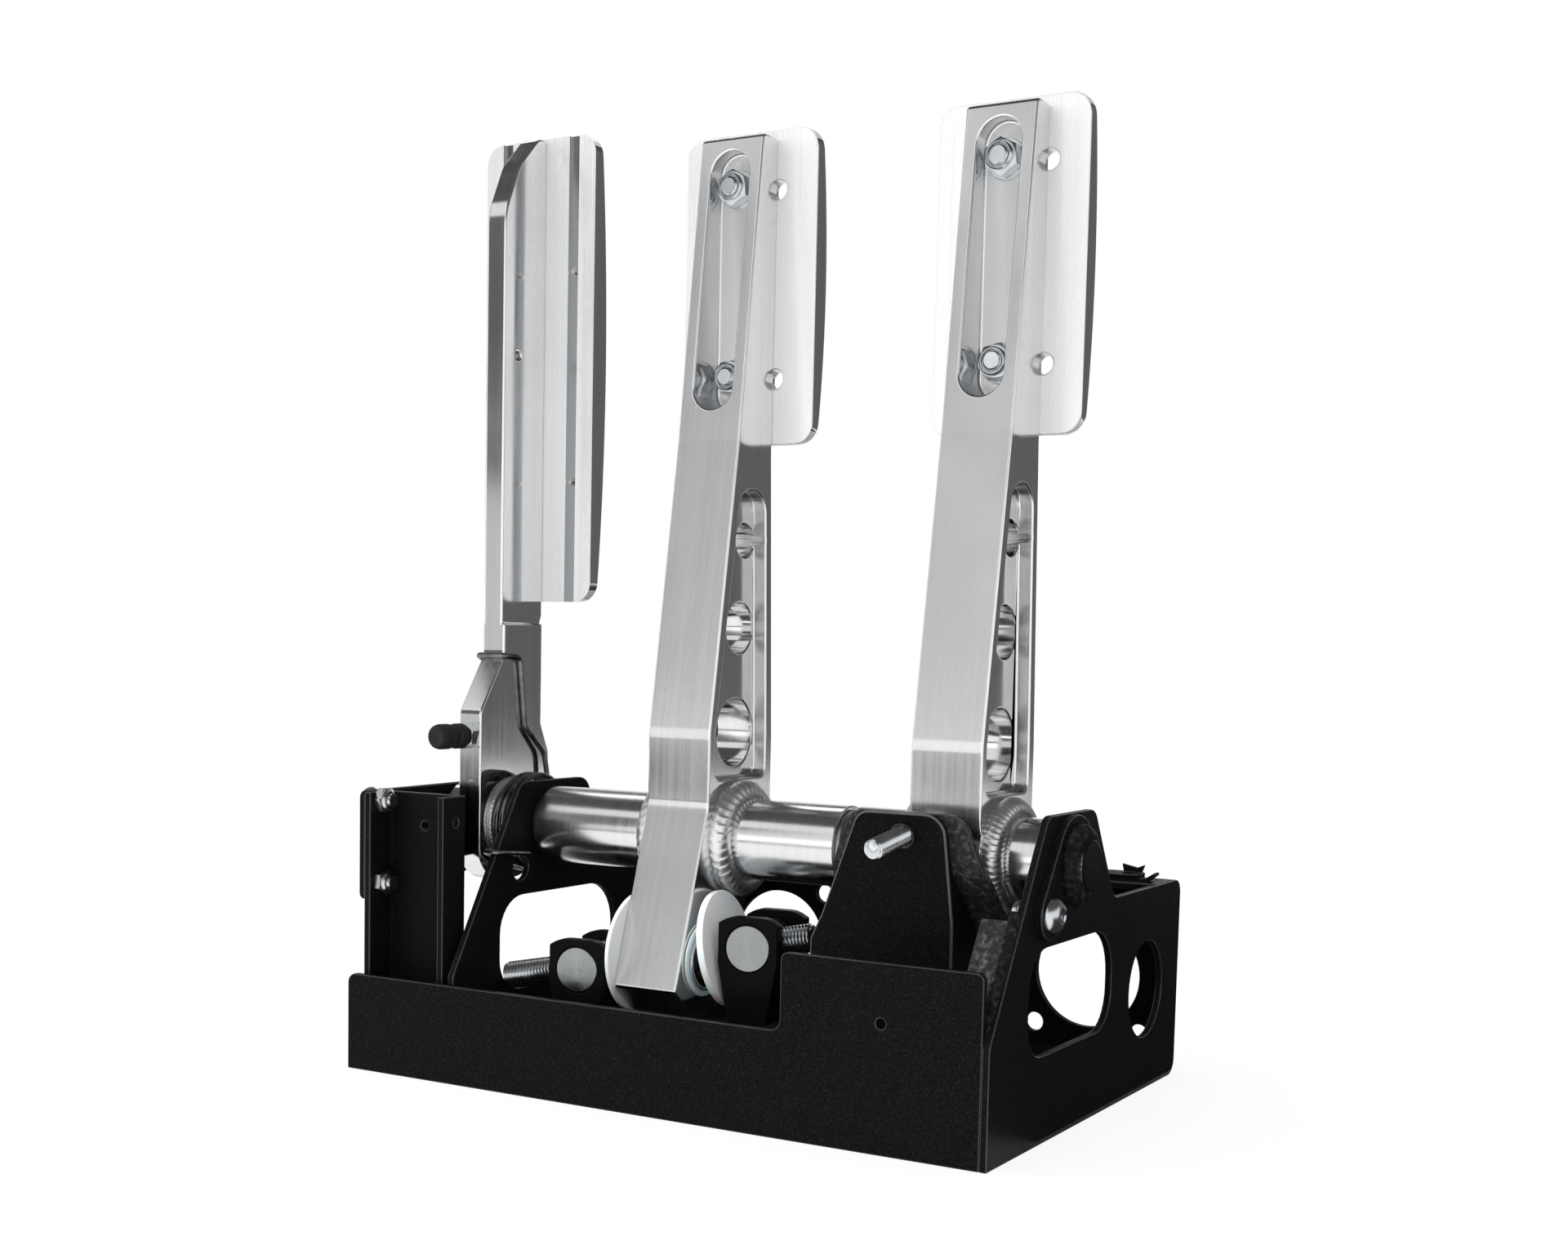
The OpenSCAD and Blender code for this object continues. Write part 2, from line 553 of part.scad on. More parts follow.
// Lower lever of the brake: it narrows round the bearing housing
lever_end = bar_z - 26;
module brake_arm() color(alloy) placed() difference() {
    slab_x(brake_x - arm_w / 2, arm_w) polygon(rounded(concat(upper_rear, upper_front,
        [[bar_y - 21.8, bar_z - 11.7, 2], [bar_y - 4.5, lever_end, 12], [bar_y + 15, lever_end + 6, 8],
        [bar_y + 20.5, bar_z + 1, 20], [arm_rear, pivot_z + 7, 20]])));
    arm_cuts(brake_x);
    rod_x([brake_x - arm_w / 2 - over, bar_y, bar_z], arm_w + 2 * over, housing_r + seat);
}

// Tubes, with the bushes' flanges between them and the plates
brake_from = inner_plate_x + sheet + face_gap + bush_flange;
clutch_to = right_plate_x - face_gap - bush_flange;
tube_joint = brake_x + 71.1;
brake_to = tube_joint - face_gap / 2 - bush_flange;
clutch_from = tube_joint + face_gap / 2 + bush_flange;
throttle_from = outrigger_x + sheet + face_gap + bush_flange;
throttle_to = inner_plate_x - face_gap - bush_flange;
module pivot_tube(from, to) color(alloy) placed()
    ring_x([from, pivot_y, pivot_z], to - from, tube_r, tube_bore_r);
module brake_tube() pivot_tube(brake_from, brake_to);
module clutch_tube() pivot_tube(clutch_from, clutch_to);
module throttle_tube() pivot_tube(throttle_from, throttle_to);

// Flanged plain bushes, one in each end of a tube
bush_flange_r = tube_bore_r + 2.5;
module bush_pair(from, to) color("#c79a4b") placed() {
    ring_x([from, pivot_y, pivot_z], bush_len, tube_bore_r - seat, shaft_r + running);
    ring_x([from - bush_flange, pivot_y, pivot_z], bush_flange, bush_flange_r, shaft_r + running);
    ring_x([to - bush_len, pivot_y, pivot_z], bush_len, tube_bore_r - seat, shaft_r + running);
    ring_x([to, pivot_y, pivot_z], bush_flange, bush_flange_r, shaft_r + running);
}
module brake_bushes() bush_pair(brake_from, brake_to);
module clutch_bushes() bush_pair(clutch_from, clutch_to);
throttle_bush_len = 15;
module throttle_bushes() color("#c79a4b") placed() {
    ring_x([throttle_from, pivot_y, pivot_z], throttle_bush_len, tube_bore_r - seat, shaft_r + running);
    ring_x([throttle_from - bush_flange, pivot_y, pivot_z], bush_flange, bush_flange_r, shaft_r + running);
    ring_x([throttle_to - throttle_bush_len, pivot_y, pivot_z], throttle_bush_len, tube_bore_r - seat,
        shaft_r + running);
    ring_x([throttle_to, pivot_y, pivot_z], bush_flange, bush_flange_r, shaft_r + running);
}

// Weld beads round the tube on both faces of an arm; the throttle's stay inside the spring's coil
throttle_toe_r = coil_r - wire_d / 2 - face_gap;
module weld_pair(x, half, toe) color(alloy) placed() for (side = [0, 180])
    translate([x, pivot_y, pivot_z]) rotate([0, 90 + side, 0]) translate([0, 0, half])
        rotate_extrude() polygon([[tube_r + seat, 0], [toe, 0], [(tube_r + toe) / 2, (toe - tube_r) / 2],
            [tube_r + seat, toe - tube_r]]);
module brake_welds() weld_pair(brake_x, arm_w / 2, weld_toe_r);
module clutch_welds() weld_pair(clutch_x, arm_w / 2, weld_toe_r);
module throttle_welds() weld_pair(throttle_x, throttle_arm_t / 2, throttle_toe_r);

// Pads: flat at the back, curved towards the driver, with rounded corners
pad_corner_r = 8.5;
pad_steps = 24;
module pad_body(x, z, w, h) {
    rise = pad_t - pad_edge_t;
    arc_r = (h * h / 4 + rise * rise) / (2 * rise);
    half = asin(h / 2 / arc_r);
    intersection() {
        slab_y(pad_back, pad_t) polygon(rounded([[x - w / 2, z, pad_corner_r], [x + w / 2, z, pad_corner_r],
            [x + w / 2, z + h, pad_corner_r], [x - w / 2, z + h, pad_corner_r]]));
        slab_x(x - w / 2 - over, w + 2 * over) polygon(concat([[pad_back, z + h], [pad_back, z]],
            [for (i = [0:pad_steps]) let (a = half * (2 * i / pad_steps - 1))
                [pad_back + pad_t - arc_r * (1 - cos(a)), z + h / 2 + arc_r * sin(a)]]));
    }
}
brake_pad_shift = 2;
spare_hole_r = 4.1;
pad_head_depth = 5;
module bolted_pad(x, shift) color(alloy) placed() difference() {
    pad_body(x + shift, pad_low, pad_w, pad_h);
    for (z = pad_bolt_z) {
        rod_y([x, pad_back - over, z], pad_t + 2 * over, m8_r + seat);
        rod_y([x, pad_back + pad_t - pad_head_depth, z], pad_t, m8_head_r + face_gap);
        for (side = [-1, 1])
            rod_y([x + side * pad_hole_shift, pad_back - over, z], pad_t + 2 * over, spare_hole_r);
    }
}
module brake_pad() bolted_pad(brake_x, brake_pad_shift);
module clutch_pad() bolted_pad(clutch_x, 0);

// Pad fasteners: bolts from the driver's side, washers and lock nuts in the arm's pocket
pad_bolt_tip = bolt_floor - washer_t - m8_nut_h - 2;
module pad_bolts(x) color(zinc) placed() for (z = pad_bolt_z) difference() {
    union() {
        rod_y([x, pad_bolt_tip, z], pad_back + pad_t - pad_head_depth - pad_bolt_tip, m8_r);
        rod_y([x, pad_back + pad_t - pad_head_depth, z], m8_head_h, m8_head_r);
    }
    rod_y([x, pad_back + pad_t - pad_head_depth + m8_head_h - key_depth, z], key_depth + over, key_r, $fn = 6);
}
module pad_washers(x) color(zinc) placed() for (z = pad_bolt_z) difference() {
    rod_y([x, bolt_floor - washer_t, z], washer_t, m8_washer_r);
    rod_y([x, bolt_floor - washer_t - over, z], washer_t + 2 * over, m8_r + seat);
}
module pad_nuts(x) color(zinc) placed() for (z = pad_bolt_z)
    nut_y([x, bolt_floor - washer_t - m8_nut_h, z], m8_flats, m8_nut_h, m8_r + seat);
module brake_pad_bolts() pad_bolts(brake_x);
module brake_pad_washers() pad_washers(brake_x);
module brake_pad_nuts() pad_nuts(brake_x);
module clutch_pad_bolts() pad_bolts(clutch_x);
module clutch_pad_washers() pad_washers(clutch_x);
module clutch_pad_nuts() pad_nuts(clutch_x);

// Clutch arm: a round hub below the pivot, and a thinner tongue down to the rod's eye
eye_y = pivot_y + 1;
eye_z = pivot_z - clutch_eye_drop;
tongue_half_d = 12;
hub_r = pivot_y - arm_front - face_gap;
module clutch_arm() color(alloy) placed() difference() {
    union() {
        slab_x(clutch_x - arm_w / 2, arm_w) polygon(rounded(concat(upper_rear, upper_front,
            [[pivot_y - hub_r + 6, pivot_z, 0], [pivot_y + hub_r - 6, pivot_z, 0],
            [arm_rear, pivot_z + 14, 12]])));
        rod_x([clutch_x - arm_w / 2, pivot_y, pivot_z], arm_w, hub_r);
        slab_x(clutch_x - tongue_t / 2, tongue_t) polygon([[pivot_y - tongue_half_d, pivot_z],
            [eye_y - tongue_half_d, eye_z], [eye_y + tongue_half_d, eye_z],
            [pivot_y + tongue_half_d + 6, pivot_z]]);
        rod_x([clutch_x - tongue_t / 2, eye_y, eye_z], tongue_t, tongue_half_d);
    }
    arm_cuts(clutch_x);
    rod_x([clutch_x - tongue_t / 2 - over, eye_y, eye_z], tongue_t + 2 * over, clutch_eye_r);
}

// Throttle arm: a plate with a hub at the pivot and a fin behind the pad
fin_front = pivot_y - 8;
throttle_pad_low = pivot_z + 98.5;
throttle_top = throttle_pad_low + throttle_pad_h - 1;
throttle_left = throttle_x - throttle_arm_t / 2;
fin_from = pivot_z + 88;
module throttle_arm() color(alloy) placed() difference() {
    slab_x(throttle_left, throttle_arm_t) polygon(rounded([[pivot_y - 24, pivot_z - 17, 14],
        [pivot_y - 24, pivot_z + 49, 6], [fin_front, pivot_z + 74, 10], [fin_front, throttle_top - 36, 30],
        [fin_front + 10, throttle_top - 14, 20], [pad_back - 6, throttle_top, 6], [pad_back, throttle_top, 0],
        [pad_back, fin_from + 4, 2], [pivot_y + 20, fin_from, 2], [pivot_y + 20, pivot_z + 43, 3],
        [pivot_y + 26, pivot_z + 30, 5], [pivot_y + 26, pivot_z - 4, 14], [pivot_y + 10, pivot_z - 26, 16],
        [pivot_y - 14, pivot_z - 26, 16]]));
    translate([throttle_left + over / 2 + fin_t, 0, fin_from])
        cube([throttle_arm_t, base_d, throttle_pad_h + 50]);
    translate([throttle_left - over, 0, fin_from]) cube([over * 1.5, base_d, throttle_pad_h + 50]);
    rod_x([throttle_left - over, pivot_y, pivot_z], throttle_arm_t + 2 * over, tube_r + seat);
    rod_x([throttle_left - over, pivot_y + 2, throttle_top - 97], throttle_arm_t + 2 * over, small_hole_r);
    rod_y([throttle_x, 0, pivot_z + stop_bolt_z], pivot_y, m6_r + seat);
    for (z = throttle_screw_z)
        rod_y([throttle_x, pad_back - throttle_screw_len, z], throttle_screw_len + over,
            throttle_screw_r + seat);
}

// Throttle pad: two shallow grooves down its back, with small holes in them
throttle_pad_x = throttle_x + 1;
groove_x = 18.4;
groove_w = 5.4;
groove_depth = 1.5;
throttle_screw_z = [throttle_pad_low + 53.5, throttle_pad_low + 146.5];
throttle_screw_r = 2.5;
throttle_screw_len = 14;
throttle_head_h = 2.8;
module throttle_pad() color(alloy) placed() difference() {
    pad_body(throttle_pad_x, throttle_pad_low, throttle_pad_w, throttle_pad_h);
    for (side = [-1, 1]) {
        translate([throttle_pad_x + side * groove_x - groove_w / 2, pad_back - over, throttle_pad_low - over])
            cube([groove_w, groove_depth + over, throttle_pad_h + 2 * over]);
        for (z = throttle_screw_z)
            rod_y([throttle_pad_x + side * groove_x, pad_back - over, z], pad_t + 2 * over, small_hole_r);
    }
    for (z = throttle_screw_z) {
        rod_y([throttle_x, pad_back - over, z], pad_t + 2 * over, throttle_screw_r + seat);
        rod_y([throttle_x, pad_back + pad_edge_t, z], pad_t, 2 * throttle_screw_r);
    }
}
module throttle_pad_screws() color(zinc) placed() for (z = throttle_screw_z) {
    rod_y([throttle_x, pad_back - throttle_screw_len + over, z],
        throttle_screw_len + pad_edge_t - over, throttle_screw_r);
    rod_y([throttle_x, pad_back + pad_edge_t, z], throttle_head_h, 2 * throttle_screw_r - face_gap);
}

// Full-throttle stop: a bolt in the arm's front edge, with a lock nut and a rubber tip
stop_z = pivot_z + stop_bolt_z;
stop_nut_y = pivot_y - 24 - m6_nut_h - 1;
stop_bolt_in_rubber = 9;
stop_bolt_in_arm = 14;
module throttle_stop_bolt() color(zinc) placed()
    rod_y([throttle_x, stop_nut_y - stop_bolt_in_rubber, stop_z],
        stop_bolt_in_rubber + m6_nut_h + stop_bolt_in_arm, m6_r);
module throttle_stop_nut() color(zinc) placed()
    nut_y([throttle_x, stop_nut_y + over, stop_z], m6_flats, m6_nut_h, m6_r + seat);
module throttle_stop_rubber() color(rubber) placed() difference() {
    rod_y([throttle_x, stop_nut_y - rubber_len, stop_z], rubber_len, rubber_r);
    rod_y([throttle_x, stop_nut_y - stop_bolt_in_rubber, stop_z], stop_bolt_in_rubber + over, m6_r + seat);
}

// Housing of the balance bar's bearing, and the thin washers beside the lever
housing_proud = 2.5;
module bearing_housing() color(zinc) placed()
    ring_x([brake_x - arm_w / 2 - housing_proud, bar_y, bar_z], arm_w + 2 * housing_proud, housing_r,
        housing_bore_r);
disc_seat = 0.2;
side_washer_t = 1;
side_washer_r = 15.5;
module housing_washers() color(nylon) placed() {
    ring_x([brake_x - arm_w / 2 - disc_seat - disc_t, bar_y, bar_z], disc_t, disc_r, housing_r + seat);
    ring_x([brake_x + arm_w / 2 + disc_seat, bar_y, bar_z], side_washer_t, side_washer_r, housing_r + seat);
}

// Everything on the bar is drawn along the bar's own axis, from its ball
bar_left = (brake_x - inner_plate_x - sheet - bar_end_gap) / cos(bar_tilt) / cos(bar_turn);
module on_bar() placed() translate([brake_x, bar_y, bar_z]) rotate([0, -bar_tilt, bar_turn]) children();
module balance_bar() color(zinc) on_bar()
    translate([-bar_left, 0, 0]) rotate([0, 90, 0]) turned_rod(bar_left + bar_right, bar_r);
ball_half = 8;
module bar_ball() color(zinc) on_bar() difference() {
    intersection() {
        sphere(r = housing_bore_r - running);
        rod_x([-ball_half, 0, 0], 2 * ball_half, housing_bore_r);
    }
    rod_x([-ball_half - over, 0, 0], 2 * (ball_half + over), bar_r + seat);
}
collar_from = 20;
collar_left_to = 25;
nylon_from = 22.6;
collar_r = bar_r + 2;
module bar_collars() color(zinc) on_bar() {
    ring_x([-collar_left_to, 0, 0], collar_left_to - collar_from, collar_r, bar_r + seat);
    ring_x([collar_from, 0, 0], nylon_from - collar_from, collar_r, bar_r + seat);
}
module nylon_spacer() color(nylon) on_bar() ring_x([nylon_from, 0, 0], nylon_t, nylon_r, bar_r + seat);

module trunnion(at) color(zinc) on_bar() difference() {
    rod_y([at, -trunnion_len / 2, 0], trunnion_len, trunnion_r);
    rod_x([at - 2 * trunnion_r, 0, 0], 4 * trunnion_r, bar_r + running);
}
module trunnion_left() trunnion(-trunnion_left);
module trunnion_right() trunnion(trunnion_right);

// Clevis: two ears on the barrel and a boss with the rod's thread, hanging straight down
boss_top = -13;
clevis_outline = rounded([[-clevis_half_w, 9.8, 1], [-8, 12.6, 12], [8, 12.6, 12], [clevis_half_w, 9.8, 1],
    [clevis_half_w, -6, 4], [8.5, -clevis_drop, 1], [-8.5, -clevis_drop, 1], [-clevis_half_w, -6, 4]]);
module clevis(at) color(black) placed()
    translate([brake_x + at * cos(bar_tilt) * cos(bar_turn), bar_y + at * cos(bar_tilt) * sin(bar_turn),
        bar_z + at * sin(bar_tilt)]) rotate([0, 0, bar_turn]) difference() {
        slab_y(-trunnion_len / 2, trunnion_len) polygon(clevis_outline);
        translate([-clevis_half_w - over, ear_t - trunnion_len / 2, boss_top])
            cube([2 * (clevis_half_w + over), trunnion_len - 2 * ear_t, 40]);
        rod_y([0, -trunnion_len / 2 - over, 0], trunnion_len + 2 * over, trunnion_r + running);
        translate([0, 0, -clevis_drop - over]) cylinder(h = clevis_drop, r = rod_hole_r);
    }
module clevis_left() clevis(-trunnion_left);
module clevis_right() clevis(trunnion_right);

// Return spring: one tube of wire. The upper leg hooks round the arm's front edge, the lower leg round
// the inner side plate's front edge, and the coil lies round the throttle's pivot tube.
wire_r = wire_d / 2;
wire_sides = 6;
leg_x = throttle_x + throttle_arm_t / 2 + face_gap + wire_r;
coil_end_x = inner_plate_x - wire_r - 1.6;
hook_top = [pivot_y - 9.9, pivot_z + 73.8];
hook_low = [tower_front - 18.6, pivot_z - 9.8];
function polar(p) = [norm(p), atan2(p[1], p[0])];
low_rel = polar(hook_low - [pivot_y, pivot_z]);
start_a = 0;
end_a = low_rel[1] + acos(coil_r / low_rel[0]) - 360 * (coil_turns + 1);
coil_sweep = start_a - end_a;
coil_rings = ceil(coil_sweep / 45);
coil_start_x = coil_end_x - coil_pitch * coil_sweep / 360;
coil_path = [for (i = [0:coil_rings]) let (a = start_a - coil_sweep * i / coil_rings)
    [coil_start_x + coil_pitch * coil_sweep / 360 * i / coil_rings,
     pivot_y + coil_r * cos(a), pivot_z + coil_r * sin(a)]];
// A bend of the wire between two straight runs, on a curve of the given reach
function bend(a, b, c, reach) = let (p = b + unit(a - b) * reach, q = b + unit(c - b) * reach)
    [for (t = [0:0.25:1]) (1 - t) * (1 - t) * p + 2 * t * (1 - t) * b + t * t * q];
top_end = [throttle_left - face_gap - wire_r, hook_top[0] + 6, hook_top[1] - 2.5];
top_left = [top_end[0], hook_top[0], hook_top[1]];
top_right = [leg_x, hook_top[0], hook_top[1]];
// The upper leg runs back along the arm's side, then down in four kinked runs to the coil's rear
leg_back = [leg_x, pivot_y + 1.8, hook_top[1] - 0.8];
leg_knee = [leg_x, pivot_y + 5.9, pivot_z + 42];
leg_step = [leg_x + 1.1, pivot_y + 18.9, pivot_z + 29.7];
leg_foot = [leg_x + 1.5, pivot_y + 20.5, pivot_z + 21];
low_left = [coil_end_x, hook_low[0], hook_low[1]];
low_right = [inner_plate_x + sheet + face_gap + wire_r, hook_low[0], hook_low[1]];
low_end = [low_right[0], hook_low[0] + 22, hook_low[1] - 2.4];
wire_bend = 2.6;
spring_path = concat([top_end], bend(top_end, top_left, top_right, wire_bend),
    bend(top_left, top_right, leg_back, wire_bend), bend(top_right, leg_back, leg_knee, wire_bend),
    bend(leg_back, leg_knee, leg_step, wire_bend), bend(leg_knee, leg_step, leg_foot, wire_bend),
    bend(leg_step, leg_foot, coil_path[0], wire_bend), coil_path,
    bend(coil_path[coil_rings], low_left, low_right, wire_bend),
    bend(low_left, low_right, low_end, wire_bend), [low_end]);
spring_gap = min([for (i = [0:len(spring_path) - 1], j = [i + 5:1:len(spring_path) - 1])
    norm(spring_path[i] - spring_path[j])]) - wire_d;
echo(spring_gap = spring_gap);
function tangent(p, i) = unit(p[min(i + 1, len(p) - 1)] - p[max(i - 1, 0)]);
module wire_tube(p, r, sides) {
    steady = unit([1, 1, 1]);
    rings = [for (i = [0:len(p) - 1]) let (t = tangent(p, i), u = unit(cross(t, steady)), v = cross(t, u))
        for (s = [0:sides - 1]) p[i] + r * (u * cos(360 * s / sides) + v * sin(360 * s / sides))];
    last = (len(p) - 1) * sides;
    walls = [for (i = [0:len(p) - 2], s = [0:sides - 1], half = [0, 1])
        let (a = i * sides + s, b = i * sides + (s + 1) % sides)
        half == 0 ? [a, b, b + sides] : [a, b + sides, a + sides]];
    ends = concat([for (s = [1:sides - 2]) [0, s + 1, s]],
        [for (s = [1:sides - 2]) [last, last + s, last + s + 1]]);
    polyhedron(rings, concat(walls, ends));
}
module throttle_spring() color(wire) placed() wire_tube(spring_path, wire_r, wire_sides);

base_tray();
front_wall();
right_side_plate();
inner_side_plate();
throttle_bracket();
outrigger_plate();
outrigger_screws();
outrigger_nuts();
clutch_stop_bracket();
clutch_stop_brace();
clutch_stop_stud();
clutch_stop_nut();
flange_clips();
cross_shaft();
shaft_retainer();
retainer_screw();
retainer_nut();
brake_arm();
brake_tube();
brake_welds();
brake_bushes();
brake_pad();
brake_pad_bolts();
brake_pad_washers();
brake_pad_nuts();
bearing_housing();
housing_washers();
balance_bar();
bar_ball();
bar_collars();
nylon_spacer();
trunnion_left();
trunnion_right();
clevis_left();
clevis_right();
clutch_arm();
clutch_tube();
clutch_welds();
clutch_bushes();
clutch_pad();
clutch_pad_bolts();
clutch_pad_washers();
clutch_pad_nuts();
throttle_arm();
throttle_tube();
throttle_welds();
throttle_bushes();
throttle_pad();
throttle_pad_screws();
throttle_stop_bolt();
throttle_stop_nut();
throttle_stop_rubber();
throttle_spring();
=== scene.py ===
# %% [markdown]
# # A sim racing pedal set, dressed step by step
# The CAD model already has every plate, arm and bolt in its true place. This lesson keeps those places
# and gives each surface what the real one shows: broken edges, brush lines, weld ripples and threads.
# The frame is loaded first, because every later piece rides on one of its bodies.

# %% Load the frame
import json
import math
from functools import partial

import bmesh
import bpy
from mathutils import Matrix, Vector

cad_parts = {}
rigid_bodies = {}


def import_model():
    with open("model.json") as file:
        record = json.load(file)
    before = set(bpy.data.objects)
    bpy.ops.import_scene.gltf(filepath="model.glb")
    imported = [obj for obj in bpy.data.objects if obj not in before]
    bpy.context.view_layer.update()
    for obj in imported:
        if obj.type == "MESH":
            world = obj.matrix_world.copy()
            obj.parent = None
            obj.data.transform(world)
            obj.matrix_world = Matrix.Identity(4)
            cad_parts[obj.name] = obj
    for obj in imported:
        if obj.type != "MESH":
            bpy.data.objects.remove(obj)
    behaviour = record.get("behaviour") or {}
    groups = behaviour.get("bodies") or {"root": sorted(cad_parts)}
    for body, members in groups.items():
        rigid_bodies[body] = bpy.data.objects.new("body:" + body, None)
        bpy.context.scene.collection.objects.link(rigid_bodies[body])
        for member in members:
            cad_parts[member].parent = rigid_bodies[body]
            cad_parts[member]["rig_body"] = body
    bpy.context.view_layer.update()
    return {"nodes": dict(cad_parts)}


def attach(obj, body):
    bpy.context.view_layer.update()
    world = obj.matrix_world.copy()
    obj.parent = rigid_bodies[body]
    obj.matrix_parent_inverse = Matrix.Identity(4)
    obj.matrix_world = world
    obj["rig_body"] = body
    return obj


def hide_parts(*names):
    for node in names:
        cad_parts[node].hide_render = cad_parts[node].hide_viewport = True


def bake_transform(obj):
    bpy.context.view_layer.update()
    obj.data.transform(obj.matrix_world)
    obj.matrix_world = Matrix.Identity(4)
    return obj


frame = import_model()

# %% [markdown]
# ## Places
# Drawings of such a base are measured from its far left bottom corner, in millimetres. One function
# turns such a place into Blender's metres, with the origin in the middle of the base's underside.

# %% Sizes that many pieces share
BASE_WIDTH, BASE_DEPTH, SHEET = 300.0, 205.0, 3.0
PIVOT_Y, PIVOT_Z = 70.5, 105.0
THROTTLE_X, BRAKE_X, CLUTCH_X = 28.0, 137.0, 258.0
ARM_WIDTH, THROTTLE_WIDTH = 30.0, 12.0


def place(x, y, z):
    """A drawing place in millimetres as a place in the scene."""
    return Vector(((x - BASE_WIDTH / 2) / 1000, (y - BASE_DEPTH / 2) / 1000, z / 1000))


print("the brake's pivot lies at", [round(v, 4) for v in place(BRAKE_X, PIVOT_Y, PIVOT_Z)])

# %% [markdown]
# ## Nodes, for finishes and for shapes
# Finishes and Geometry Nodes are both graphs of nodes. Two short helpers write them as text: `add` makes
# a node with its settings, and `reckon` makes a Math node. Everything after this reads like a recipe.

# %% Helpers for node graphs


def add(tree, kind, inputs=None, **settings):
    """A node of that kind, with its settings, its numbers and its links."""
    node = tree.nodes.new(kind)
    for name, value in settings.items():
        setattr(node, name, value)
    for key, value in (inputs or {}).items():
        if isinstance(value, bpy.types.NodeSocket):
            tree.links.new(value, node.inputs[key])
        else:
            node.inputs[key].default_value = value
    return node


def reckon(tree, operation, *values):
    """The result of a Math node."""
    return add(tree, "ShaderNodeMath", dict(enumerate(values)), operation=operation).outputs[0]


def spread(tree, value, low, high, start=0.0, end=1.0):
    """Maps a value between start and end to one between low and high."""
    wanted = {"Value": value, "From Min": start, "From Max": end, "To Min": low, "To Max": high}
    return add(tree, "ShaderNodeMapRange", wanted).outputs["Result"]


# %% [markdown]
# ## Finishes
# Each finish starts from Principled BSDF. What makes it real is small: brush lines are noise stretched a
# hundredfold along the brushing, powder coat is a fine bump with a slow change of gloss, and zinc is a
# faint mottling. All of them read Object coordinates, so the pattern stays on the piece when it moves.

# %% Start of a finish


def start_finish(name, colour, metallic, roughness, **fixed):
    """A new material with its Principled BSDF and Object coordinates."""
    material = bpy.data.materials.new(name)
    material.use_nodes = True
    tree = material.node_tree
    shader = tree.nodes["Principled BSDF"]
    shader.inputs["Base Color"].default_value = (*colour, 1)
    shader.inputs["Metallic"].default_value = metallic
    shader.inputs["Roughness"].default_value = roughness
    for key, value in fixed.items():
        shader.inputs[key.replace("_", " ")].default_value = value
    where = add(tree, "ShaderNodeTexCoord").outputs["Object"]
    return material, tree, shader, where


def noise(tree, where, scale, detail=2.0, rough=0.5, stretch=None):
    """Noise at that scale per metre, stretched where it is told to be."""
    if stretch is not None:
        where = add(tree, "ShaderNodeMapping", {"Vector": where, "Scale": stretch}).outputs[0]
    return add(tree, "ShaderNodeTexNoise",
               {"Vector": where, "Scale": scale, "Detail": detail, "Roughness": rough}).outputs[0]


def shade(tree, factor, dark, light):
    """A colour between dark and light."""
    mix = add(tree, "ShaderNodeMix", {0: factor}, data_type="RGBA")
    mix.inputs[6].default_value = (*dark, 1)
    mix.inputs[7].default_value = (*light, 1)
    return mix.outputs[2]


def bump(tree, shader, height, distance, strength):
    """Turns a height into a bump on the shader."""
    node = add(tree, "ShaderNodeBump", {"Height": height, "Distance": distance, "Strength": strength})
    tree.links.new(node.outputs[0], shader.inputs["Normal"])


# %% [markdown]
# ### Powder coat
# The base is sheet steel with a black, slightly grained coat. The grain is about half a millimetre
# across, and its tips catch the light as specks. Welds and ground seams under the coat are rougher, and
# the forged clevises are smoother. On the plates' edges the coat is thin and glossy and painted a little
# lighter, a painted highlight. On the stop bracket's edges it is painted lighter still, as wear and a
# painted highlight.

# %% Powder coat


def black_coat(name, dark, light, sheen, grit, depth, low, high):
    """A black coat whose specks go from dark to light. Grit is the grain's fineness per metre."""
    material, t, shader, where = start_finish(name, (dark,) * 3, 0.0, low, Specular_IOR_Level=sheen)
    grain = noise(t, where, grit, 2, 0.6)
    drift = noise(t, where, 28, 3)
    specks = reckon(t, "POWER", spread(t, grain, 0, 1, 0.4, 0.85), 2.0)
    t.links.new(shade(t, specks, (dark, dark, dark * 1.04), (light, light, light * 1.03)),
                shader.inputs["Base Color"])
    gloss = reckon(t, "ADD", spread(t, drift, low, high, 0.3, 0.7),
                   spread(t, grain, 0.06, -0.06, 0.3, 0.7))
    t.links.new(gloss, shader.inputs["Roughness"])
    bump(t, shader, grain, depth, 0.7)
    return material


# Dark and light speck, sheen, grain per metre, bump depth in metres, roughness from and to
powder_coat = black_coat("powder_coat", 0.0042, 0.03, 0.03, 1500, 0.00016, 0.36, 0.5)
# Painted highlight: the edge coats are painted lighter than the plates, so the broken edges show a light
# line.
edge_highlight_coat = black_coat("edge_highlight_coat", 0.02, 0.06, 0.5, 1500, 0.00003, 0.2, 0.3)
worn_edge_highlight = black_coat("worn_edge_highlight", 0.06, 0.2, 0.5, 1500, 0.00003, 0.2, 0.3)
rough_coat = black_coat("rough_coat", 0.018, 0.17, 0.15, 420, 0.0008, 0.34, 0.55)
weld_coat = black_coat("weld_coat", 0.006, 0.05, 0.08, 420, 0.0006, 0.34, 0.5)
satin_black = black_coat("satin_black", 0.004, 0.008, 0.04, 900, 0.00003, 0.24, 0.34)
print("six black coats are ready")

# %% [markdown]
# ### Brushed and machined aluminium
# The arms and pads are brushed along their length, so their noise is stretched along Z. Two widths of
# line are laid over each other, and a slow noise keeps large faces from looking printed. The arms are
# sawn from polished bar: their sides are near mirrors, their fronts are satin and their broken edges are
# the brightest. The pads are blasted before they are brushed, so they are pale and only half a mirror.

# %% Brushed aluminium


